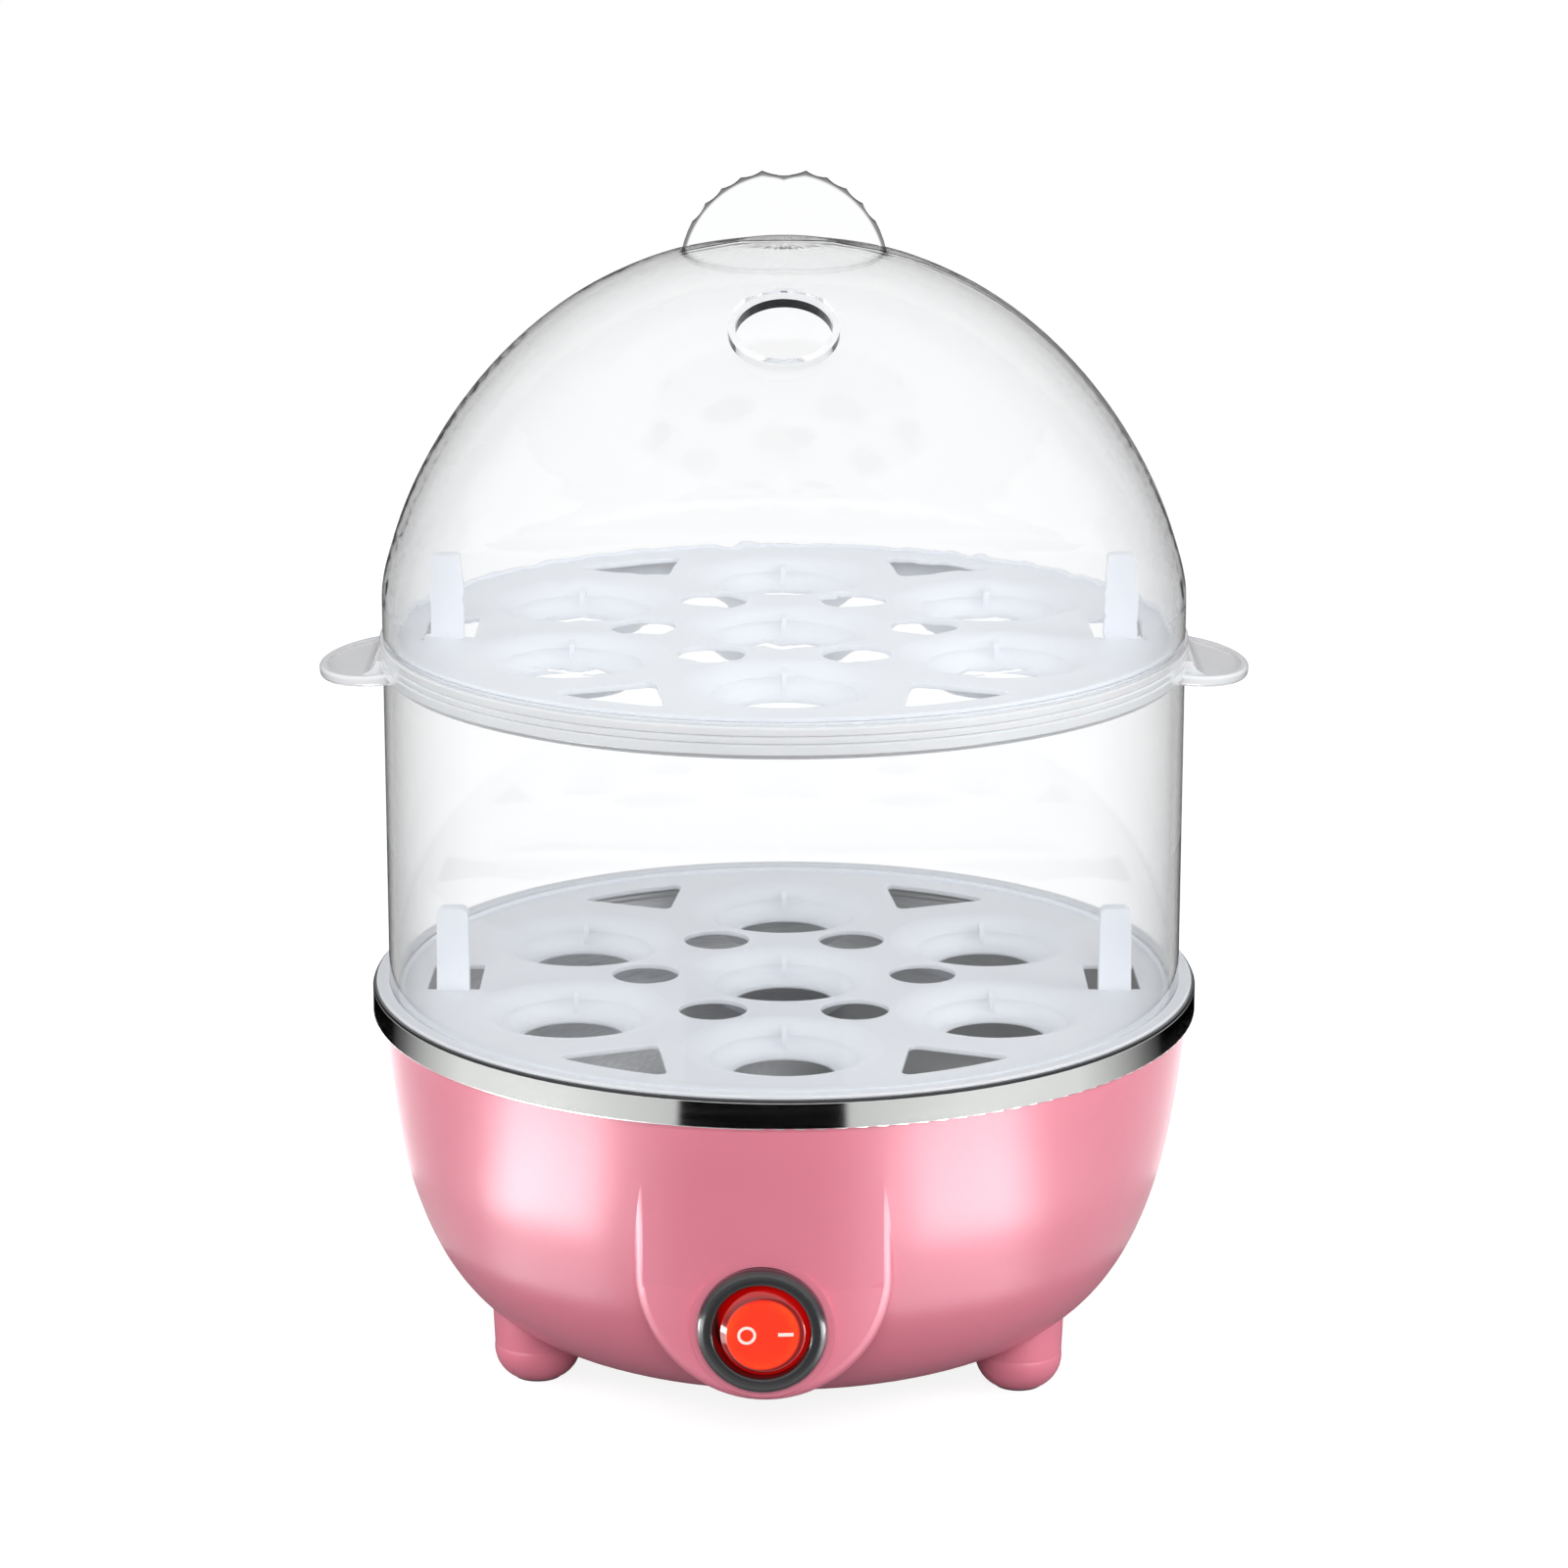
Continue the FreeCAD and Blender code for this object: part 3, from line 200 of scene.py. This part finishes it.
def moulded_matt(name, colour, roughness=0.55, grain=0.15, scale=1400.0):
    """Spark-textured or dull plastic, ceramic or rubber."""
    s = Shader(name)
    s.set(IOR=1.46)
    cloud = s.noise(30.0, 4.0)
    body = s.mix(s.span(cloud, 0, 1), shade(colour, 0.92), shade(colour, 1.06))
    s.drive("Base Color", s.mix(s.math("MULTIPLY", s.edges(), 0.3), body, shade(colour, 1.35)))
    speck = s.noise(scale, 2.0)
    s.drive("Roughness", s.span(speck, roughness - 0.08, roughness + 0.1))
    s.drive("Normal", s.bump(speck, grain, 0.0002))
    return s.material


def milky_plastic():
    """Translucent white polypropylene: light soaks in, with a waxy sheen."""
    s = Shader("milky_plastic")
    s.set(IOR=1.49, Subsurface_Weight=0.5, Subsurface_Scale=0.006, Coat_Weight=0.15, Coat_Roughness=0.12)
    s.surface.inputs["Subsurface Radius"].default_value = (0.9, 0.95, 1.0)
    tint = srgb(231, 235, 242)
    cloud = s.noise(18.0, 4.0)
    s.drive("Base Color", s.mix(s.span(cloud, 0, 1), shade(tint, 0.965), shade(tint, 1.02)))
    fine = s.noise(420.0, 3.0)
    s.drive("Roughness", s.span(fine, 0.30, 0.40))
    flow = s.noise(90.0, 2.0)
    s.drive("Normal", s.bump(flow, 0.03, 0.0005))
    return s.material


def painted_tab_rim_shade(s):
    """1 inside the finger tab's outline, falling to a painted grey shade along its thick rim."""
    split = s.node("ShaderNodeSeparateXYZ")
    s.link(s.place, split.inputs[0])
    up = s.math("SUBTRACT", split.outputs["Z"], TAB_CENTRE_Z)
    depth_and_painted_edge_shade, half_width = TAB_DIP
    dip = s.span(s.math("ABSOLUTE", split.outputs["X"]), depth_and_painted_edge_shade, 0.0, 0.0, half_width)
    out = s.math("ADD", s.length(split.outputs["X"], up), dip)
    rim = s.span(out, 0.0, 1.0, *TAB_RIM)
    limits = (
        s.math("GREATER_THAN", up, TAB_FOOT),
        s.math("LESS_THAN", out, TAB_OUTSIDE),
        s.math("LESS_THAN", s.math("ABSOLUTE", split.outputs["Y"]), TAB_HALF_DEPTH))
    for limit in limits:
        rim = s.math("MULTIPLY", rim, limit)
    # painted shade: the clear tab's thick rim is greyed in its colour
    return s.math("SUBTRACT", 1.0, s.math("MULTIPLY", rim, TAB_RIM_SHADE))


def clear_plastic(name, colour, roughness):
    """Clear moulded shell.  Lamps and soft light pass straight through, as through a thin clear wall. Its
    colour greys where the view grazes it: a little of that is the longer path through the wall, most is
    painted shade.
    """
    s = Shader(name)
    s.set(IOR=1.49, Transmission_Weight=1.0)
    tilt = s.node("ShaderNodeLayerWeight")
    tilt.inputs["Blend"].default_value = 0.5
    # painted shade: the wall's colour greys towards grazing views, standing in for its dark reflected
    # edges; only a little is the longer path through the wall
    depth_and_painted_edge_shade = s.ramp(tilt.outputs["Facing"], [
        (0.0, 0.99), (0.29, 0.985), (0.42, 0.978), (0.52, 0.94), (0.62, 0.88), (0.72, 0.80), (0.82, 0.70),
        (1.0, 0.66)])
    tint = s.node("ShaderNodeMix", data_type="RGBA", blend_type="MULTIPLY")
    tint.inputs["Factor"].default_value = 1.0
    first, second = [socket for socket in tint.inputs if socket.type == "RGBA"]
    first.default_value = colour
    s.link(s.mix(painted_tab_rim_shade(s), BLACK, depth_and_painted_edge_shade), second)
    s.drive("Base Color", [socket for socket in tint.outputs if socket.type == "RGBA"][0])
    film = s.noise(60.0, 4.0)
    s.drive("Roughness", s.span(film, roughness * 0.6, roughness * 1.4))
    swirl = s.noise(9.0, 2.0, source=s.stretched((1.0, 1.0, 0.35)))
    s.drive("Normal", s.bump(swirl, 0.02, 0.0015))
    path = s.node("ShaderNodeLightPath")
    shown = s.surface.outputs[0]
    for ray in ("Is Diffuse Ray", "Is Shadow Ray"):
        straight = s.node("ShaderNodeBsdfTransparent")
        straight.inputs["Color"].default_value = (0.965, 0.97, 0.975, 1.0)
        choose = s.node("ShaderNodeMixShader")
        s.link(path.outputs[ray], choose.inputs["Fac"])
        s.link(shown, choose.inputs[1])
        s.link(straight.outputs[0], choose.inputs[2])
        shown = choose.outputs[0]
    s.link(shown, s.output.inputs["Surface"])
    return s.material


def turned_steel(name, tone, roughness, lines):
    """Stainless sheet brushed in circles about the Z axis, so its shine fans out from the centre. Its
    colour also goes light and dark round the axis, a painted reflection of the studio.
    """
    s = Shader(name)
    s.set(Metallic=1.0, Anisotropic=0.75)
    tangent = s.node("ShaderNodeTangent", direction_type="RADIAL", axis="Z")
    s.link(tangent.outputs[0], s.surface.inputs["Tangent"])
    split = s.node("ShaderNodeSeparateXYZ")
    s.link(s.place, split.inputs[0])
    radius = s.length(split.outputs["X"], split.outputs["Y"])
    turn = s.math("ARCTAN2", split.outputs["Y"], split.outputs["X"])
    join = s.node("ShaderNodeCombineXYZ")
    s.link(radius, join.inputs[0])
    s.link(s.math("MULTIPLY", turn, BRUSH_DRAWN_OUT), join.inputs[1])
    s.link(split.outputs["Z"], join.inputs[2])
    brush = s.noise(lines, 4.0, 0.7, source=join.outputs[0])
    # painted reflection: the colour is lightened and darkened by heading round the Z axis, copying the
    # studio's reflection on the pan
    painted_reflection_by_turn = s.ramp(s.span(turn, 0.0, 1.0, -math.pi, math.pi), [
        (0.0, 0.95), (0.05, 0.70), (0.12, 0.20), (0.19, 0.22), (0.26, 0.95), (0.33, 1.0), (0.41, 0.98),
        (0.47, 0.45), (0.60, 0.36), (0.72, 0.62), (0.86, 0.95), (1.0, 0.95)])
    grain = s.mix(s.span(brush, 0, 1), shade(tone, 0.72), shade(tone, 1.12))
    s.drive("Base Color", s.mix(painted_reflection_by_turn, BLACK, grain))
    s.drive("Roughness", s.span(brush, roughness - 0.08, roughness + 0.10))
    s.drive("Normal", s.bump(brush, 0.18, 0.00015))
    return s.material


def polished_steel():
    """Mirror-polished band with hairline polishing marks along it."""
    s = Shader("polished_steel")
    s.set(Metallic=1.0)
    tone = srgb(226, 228, 226)
    hair = s.noise(900.0, 3.0, source=s.stretched((0.05, 0.05, 1.0)))
    smear = s.noise(26.0, 3.0)
    s.drive("Base Color", s.mix(s.span(smear, 0, 1), shade(tone, 0.96), shade(tone, 1.0)))
    s.drive("Roughness", s.math("ADD", s.span(hair, 0.0, 0.03), s.span(smear, 0.045, 0.085)))
    s.drive("Normal", s.bump(hair, 0.015, 0.0001))
    return s.material


def sheet_metal(name, tone, roughness, scale=60.0):
    """Plated or galvanised steel, brass or cast aluminium: cloudy tone, fine scratches."""
    s = Shader(name)
    s.set(Metallic=1.0)
    cloud = s.noise(scale, 5.0, 0.65)
    scratch = s.noise(1500.0, 2.0, source=s.stretched((0.1, 1.0, 1.0)))
    s.drive("Base Color", s.mix(s.span(cloud, 0, 1), shade(tone, 0.78), shade(tone, 1.12)))
    worn = s.span(scratch, roughness, roughness + 0.08)
    s.drive("Roughness", s.math("ADD", s.span(cloud, -0.05, 0.07), worn))
    s.drive("Normal", s.bump(scratch, 0.08, 0.0001))
    return s.material


def from_switch_axis(s):
    """Distance from the switch's axis, which runs along Y."""
    low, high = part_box("rocker")
    centre = (low + high) / 2
    split = s.node("ShaderNodeSeparateXYZ")
    s.link(s.place, split.inputs[0])
    dx = s.math("SUBTRACT", split.outputs["X"], centre.x)
    dz = s.math("SUBTRACT", split.outputs["Z"], centre.z)
    return s.length(dx, dz)


def switch_bezel():
    """Glossy black plastic whose flange is softly crowned between its inner and outer edges."""
    s = Shader("bezel_plastic")
    s.set(IOR=1.5, Coat_Weight=1.0, Coat_IOR=1.6, Coat_Roughness=0.12, Specular_IOR_Level=0.4)
    cloud = s.noise(40.0, 3.0)
    s.drive("Base Color", s.mix(s.span(cloud, 0, 1), srgb(17, 18, 20), srgb(27, 28, 31)))
    s.drive("Roughness", s.span(cloud, 0.20, 0.26))
    off = s.math("SUBTRACT", from_switch_axis(s), BEZEL_MIDDLE_R)
    crown = s.math("MULTIPLY", s.math("MULTIPLY", off, off), -1.0 / (2 * BEZEL_CROWN_R))
    s.drive("Normal", s.bump(crown, 1.0, 1.0))
    return s.material


def lit_lens():
    """Red rocker: a bright face over the lamp, a dark step round it, and a deep red skirt."""
    s = Shader("red_lens")
    s.set(IOR=1.5, Coat_Weight=0.6, Coat_Roughness=0.04, Roughness=0.12)
    away = from_switch_axis(s)
    rim = s.span(away, 0.0, 1.0, *ROCKER_STEP)
    hot = s.span(s.noise(160.0, 3.0), 0.0, 1.0)
    face = s.mix(s.span(away, 0.0, 1.0, *ROCKER_FACE), srgb(255, 44, 8), srgb(255, 84, 10))
    face = s.mix(hot, face, srgb(246, 36, 6))
    s.drive("Base Color", s.mix(rim, srgb(240, 40, 10), srgb(120, 4, 6)))
    skirt = s.mix(s.span(away, 0.0, 1.0, *ROCKER_SKIRT), srgb(38, 2, 3), srgb(176, 6, 4))
    s.drive("Emission Color", s.mix(rim, face, skirt))
    s.set(Emission_Strength=0.72)
    grain = s.noise(500.0, 2.0)
    s.drive("Normal", s.bump(grain, 0.03, 0.0002))
    return s.material


def wire_insulation(name, colour, stripe=None):
    """Soft insulation; the earth wire has a stripe along it."""
    s = Shader(name)
    s.set(IOR=1.48)
    cloud = s.noise(120.0, 3.0)
    body = s.mix(s.span(cloud, 0, 1), shade(colour, 0.9), shade(colour, 1.08))
    if stripe:
        band = s.noise(340.0, 0.0, source=s.stretched((1.0, 0.1, 0.1)))
        body = s.mix(s.span(band, 0, 1, 0.49, 0.51), body, stripe)
    s.drive("Base Color", body)
    s.drive("Roughness", s.span(cloud, 0.35, 0.5))
    return s.material


def make_materials():
    pink = srgb(222, 128, 147)
    return {
        "clear_plastic": clear_plastic("clear_plastic", (0.985, 0.988, 0.99, 1.0), 0.02),
        "milky_plastic": milky_plastic(),
        "collar_plastic": moulded_gloss("collar_plastic", srgb(218, 219, 221), 0.16, 0.5, subsurface=0.3),
        "pink_plastic": moulded_gloss(
            "pink_plastic", pink, 0.26, 0.0, subsurface=0.08, grain=0.01, mottle=0.02),
        "pink_cover": moulded_matt("pink_cover", shade(pink, 0.94), 0.5),
        "polished_steel": polished_steel(),
        "pan_steel": turned_steel("pan_steel", srgb(244, 244, 246), 0.40, 2600.0),
        "zinc_steel": sheet_metal("zinc_steel", srgb(198, 200, 205), 0.26),
        "galvanised_steel": sheet_metal("galvanised_steel", srgb(170, 173, 178), 0.40, 140.0),
        "cast_aluminium": sheet_metal("cast_aluminium", srgb(190, 190, 192), 0.46, 220.0),
        "element_sheath": sheet_metal("element_sheath", srgb(160, 160, 162), 0.42, 180.0),
        "ceramic": moulded_matt("ceramic", srgb(236, 231, 219), 0.6),
        "brass_contacts": sheet_metal("brass_contacts", srgb(214, 180, 106), 0.28),
        "brown_bakelite": moulded_matt("brown_bakelite", srgb(78, 48, 32), 0.38, 0.05),
        "fibre_sleeve": moulded_matt("fibre_sleeve", srgb(232, 226, 210), 0.85, 0.6, 2200.0),
        "silicone_seal": moulded_matt("silicone_seal", srgb(225, 222, 216), 0.45, 0.04),
        "foot_rubber": moulded_matt("foot_rubber", srgb(52, 52, 55), 0.75, 0.25),
        "black_bead": moulded_gloss("black_bead", srgb(22, 22, 24), 0.22, 0.3),
        "black_plastic": switch_bezel(),
        "red_lens": lit_lens(),
        "white_mark": moulded_gloss("white_mark", srgb(255, 240, 232), 0.35, 0.0),
        "neon_lamp": clear_plastic("neon_lamp", srgb(255, 150, 90), 0.05),
        "black_rubber": moulded_matt("black_rubber", srgb(34, 34, 36), 0.6, 0.2),
        "nylon_block": moulded_gloss("nylon_block", srgb(238, 238, 230), 0.35, 0.1, subsurface=0.3),
        "clear_sleeve": moulded_gloss("clear_sleeve", srgb(232, 235, 232), 0.3, 0.2, subsurface=0.4),
        "wire_live": wire_insulation("wire_live", srgb(122, 66, 30)),
        "wire_neutral": wire_insulation("wire_neutral", srgb(40, 92, 190)),
        "wire_earth": wire_insulation("wire_earth", srgb(216, 206, 40), srgb(38, 128, 58)),
    }


def dress_nodes(materials):
    slots = {row["node"]: row["material_slot"] for row in frame["record"]["subparts"]}
    for name, node in NODES.items():
        node.data.materials.clear()
        node.data.materials.append(materials[slots[name]])
        for polygon in node.data.polygons:
            polygon.use_smooth = True


# ---------------------------------------------------------------- studio
def mesh_object(name, corners, faces, material):
    mesh = bpy.data.meshes.new(name)
    mesh.from_pydata(corners, [], faces)
    mesh.materials.append(material)
    made = bpy.data.objects.new(name, mesh)
    bpy.context.scene.collection.objects.link(made)
    return made


def circle(radius, z, steps):
    turns = [2 * math.pi * i / steps for i in range(steps)]
    return [(radius * math.cos(a), radius * math.sin(a), z) for a in turns]


def studio_floor():
    """Pale table: lifted to nearly white for the eye, left mid-grey for light that bounces off it."""
    s = Shader("studio_floor")
    tone = srgb(142, 142, 143)
    soft = s.noise(3.0, 2.0)
    pale = s.mix(s.span(soft, 0, 1), shade(tone, 0.97), shade(tone, 1.0))
    path = s.node("ShaderNodeLightPath")
    seen = s.math("MAXIMUM", path.outputs["Is Camera Ray"], path.outputs["Is Transmission Ray"])
    s.drive("Base Color", s.mix(seen, srgb(148, 148, 150), pale))
    s.set(Emission_Color=WHITE)
    s.drive("Emission Strength", s.math("MULTIPLY", seen, FLOOR_LIFT))
    s.set(Roughness=0.9, Specular_IOR_Level=0.1)
    steps = 40
    floor = mesh_object("studio_floor", circle(FLOOR_REACH, 0.0, steps), [tuple(range(steps))], s.material)


def heading_ramp(tree, direction, stops):
    """Value by heading round the Z axis: stops are (degrees from -Y towards +X, value) pairs."""
    split = tree.nodes.new("ShaderNodeSeparateXYZ")
    tree.links.new(direction, split.inputs[0])
    back = tree.nodes.new("ShaderNodeMath")
    back.operation = "MULTIPLY"
    back.inputs[1].default_value = -1.0
    tree.links.new(split.outputs["Y"], back.inputs[0])
    angle = tree.nodes.new("ShaderNodeMath")
    angle.operation = "ARCTAN2"
    tree.links.new(split.outputs["X"], angle.inputs[0])
    tree.links.new(back.outputs[0], angle.inputs[1])
    share = tree.nodes.new("ShaderNodeMapRange")
    share.inputs["From Min"].default_value = -math.pi
    share.inputs["From Max"].default_value = math.pi
    tree.links.new(angle.outputs[0], share.inputs["Value"])
    ramp = tree.nodes.new("ShaderNodeValToRGB")
    fill_ramp(ramp, [((heading + 180.0) / 360.0, value) for heading, value in stops])
    tree.links.new(share.outputs["Result"], ramp.inputs["Fac"])
    return ramp.outputs["Color"]


def glow_material(name, strength):
    """Material that only shines, and its emission node."""
    material = bpy.data.materials.new(name)
    material.use_nodes = True
    tree = material.node_tree
    tree.nodes.remove(tree.nodes["Principled BSDF"])
    glow = tree.nodes.new("ShaderNodeEmission")
    glow.inputs["Strength"].default_value = strength
    tree.links.new(glow.outputs[0], tree.nodes["Material Output"].inputs["Surface"])
    return material, glow


def mirror_only(card):
    """A card that only shiny surfaces see."""
    card.visible_camera = False
    card.visible_diffuse = False
    card.visible_transmission = False
    card.visible_shadow = False
    card.visible_volume_scatter = False


def reflected_floor():
    """What shiny surfaces see of the floor, ring by ring.

    The bowl sees the two innermost rings, the steel band the next and the clear walls the outer one.
    Each ring has its two radii and its (heading, brightness) stops.
    """
    rings = {
        "bowl_foot": (0.085, 0.122, [
            (-180, 1.4), (-120, 0.6), (-76, 0.9), (-62, 3.0), (-40, 3.4), (-28, 1.1), (14, 0.8), (26, 3.6),
            (52, 3.6), (66, 0.9), (120, 0.6), (180, 1.4)]),
        "bowl": (0.122, 0.235, [
            (-180, 3.4), (-140, 3.2), (-118, 1.4), (-92, 0.7), (-76, 1.8), (-64, 13.5), (-42, 13.5),
            (-36, 3.0), (-20, 0.3), (14, 0.3), (25, 2.8), (36, 12.6), (56, 12.6), (68, 2.0), (92, 0.9),
            (118, 1.2), (140, 1.8), (180, 3.4)]),
        "band": (0.235, 0.395, [
            (-180, 0.0), (-121, 0.0), (-112, 0.16), (-100, 0.55), (-84, 0.95), (-52, 0.98), (-22.4, 0.70),
            (-22.2, 0.0), (17.0, 0.0), (17.2, 0.70), (48, 0.98), (80, 0.92), (96, 0.50), (108, 0.16),
            (117, 0.0), (180, 0.0)]),
        "walls": (0.395, FLOOR_REACH, [
            (-180, 0.16), (-150, 0.06), (-110, 0.03), (-80, 0.50), (-50, 0.95), (50, 0.95), (80, 0.50),
            (110, 0.03), (150, 0.06), (180, 0.16)]),
    }
    steps = 72
    for name, (near, far, stops) in rings.items():
        peak = max(value for heading, value in stops)
        material, glow = glow_material("reflected_" + name, peak)
        tree = material.node_tree
        place = tree.nodes.new("ShaderNodeTexCoord").outputs["Object"]
        shaded = heading_ramp(tree, place, [(heading, value / peak) for heading, value in stops])
        tree.links.new(shaded, glow.inputs["Color"])
        corners = circle(near, MM, steps) + circle(far, MM, steps)
        faces = [(i, (i + 1) % steps, steps + (i + 1) % steps, steps + i) for i in range(steps)]
        mirror_only(mesh_object("reflected_" + name, corners, faces, material))


def soft_box(name, heading, distance, height, size, power):
    """Area light at a heading round the object, aimed at its middle and left out of all reflections."""
    data = bpy.data.lights.new(name, "AREA")
    data.shape = "RECTANGLE"
    data.size, data.size_y = size
    data.energy = power
    lamp = bpy.data.objects.new(name, data)
    a = math.radians(heading)
    lamp.location = (distance * math.sin(a), -distance * math.cos(a), height)
    aim = Vector((0, 0, HEIGHT * 0.4)) - lamp.location
    lamp.rotation_euler = aim.to_track_quat("-Z", "Y").to_euler()
    lamp.visible_camera = False
    lamp.visible_glossy = False
    lamp.visible_transmission = False
    bpy.context.scene.collection.objects.link(lamp)


def studio_world():
    """White for the eye and through clear plastic, softer as a light, shaped by direction in a shine."""
    world = bpy.data.worlds.new("studio_world")
    bpy.context.scene.world = world
    world.use_nodes = True
    tree = world.node_tree
    background = tree.nodes["Background"]
    path = tree.nodes.new("ShaderNodeLightPath")
    place = tree.nodes.new("ShaderNodeTexCoord").outputs["Generated"]

    def mix(factor, low, high):
        made = tree.nodes.new("ShaderNodeMix")
        made.data_type = "RGBA"
        tree.links.new(factor, made.inputs["Factor"])
        sockets = [socket for socket in made.inputs if socket.type == "RGBA"]
        for socket, value in zip(sockets, (low, high)):
            if isinstance(value, tuple):
                socket.default_value = value
            else:
                tree.links.new(value, socket)
        return [socket for socket in made.outputs if socket.type == "RGBA"][0]

    ambient = (AMBIENT, AMBIENT, AMBIENT * 1.01, 1.0)
    by_heading = heading_ramp(tree, place, [
        (-180, 0.10), (-115, 0.06), (-85, 0.30), (-60, 0.85),
        (60, 0.85), (85, 0.30), (115, 0.06), (180, 0.10)])
    split = tree.nodes.new("ShaderNodeSeparateXYZ")
    tree.links.new(place, split.inputs[0])
    height = tree.nodes.new("ShaderNodeMapRange")
    height.inputs["From Min"].default_value = 0.0
    height.inputs["From Max"].default_value = 0.65
    tree.links.new(split.outputs["Z"], height.inputs["Value"])
    mirrored = mix(height.outputs["Result"], by_heading, WHITE)
    lit = mix(path.outputs["Is Diffuse Ray"], WHITE, ambient)
    shiny = mix(path.outputs["Is Glossy Ray"], lit, mirrored)
    shown = mix(path.outputs["Is Transmission Ray"], shiny, WHITE)
    tree.links.new(shown, background.inputs["Color"])


def studio_camera():
    """Long lens from a little above, square to the stack."""
    data = bpy.data.cameras.new("camera")
    data.sensor_width = 36.0
    data.lens = 114.48
    data.dof.use_dof = False
    data.clip_start = 0.05
    camera = bpy.data.objects.new("camera", data)
    distance, height, pitch = 0.9255, 0.3554, math.radians(14.72)
    camera.location = (distance * math.sin(STACK_TURN), -distance * math.cos(STACK_TURN), height)
    camera.rotation_euler = (math.pi / 2 - pitch, 0.0, STACK_TURN)
    bpy.context.scene.collection.objects.link(camera)
    bpy.context.scene.camera = camera


def studio():
    studio_world()
    studio_camera()
    studio_floor()
    reflected_floor()
    soft_box("left_box", -84, 0.8, 0.30, (0.5, 0.6), 3.2)
    soft_box("right_box", 80, 0.8, 0.34, (0.5, 0.6), 3.7)
    soft_box("front_box", 4, 1.1, 0.62, (0.7, 0.5), 7.6)
    soft_box("top_box", 0, 0.02, 1.4, (1.3, 1.3), 1.4)
    view = bpy.context.scene.view_settings
    view.view_transform = "Standard"
    view.look = "None"


materials = make_materials()
dress_nodes(materials)
studio()
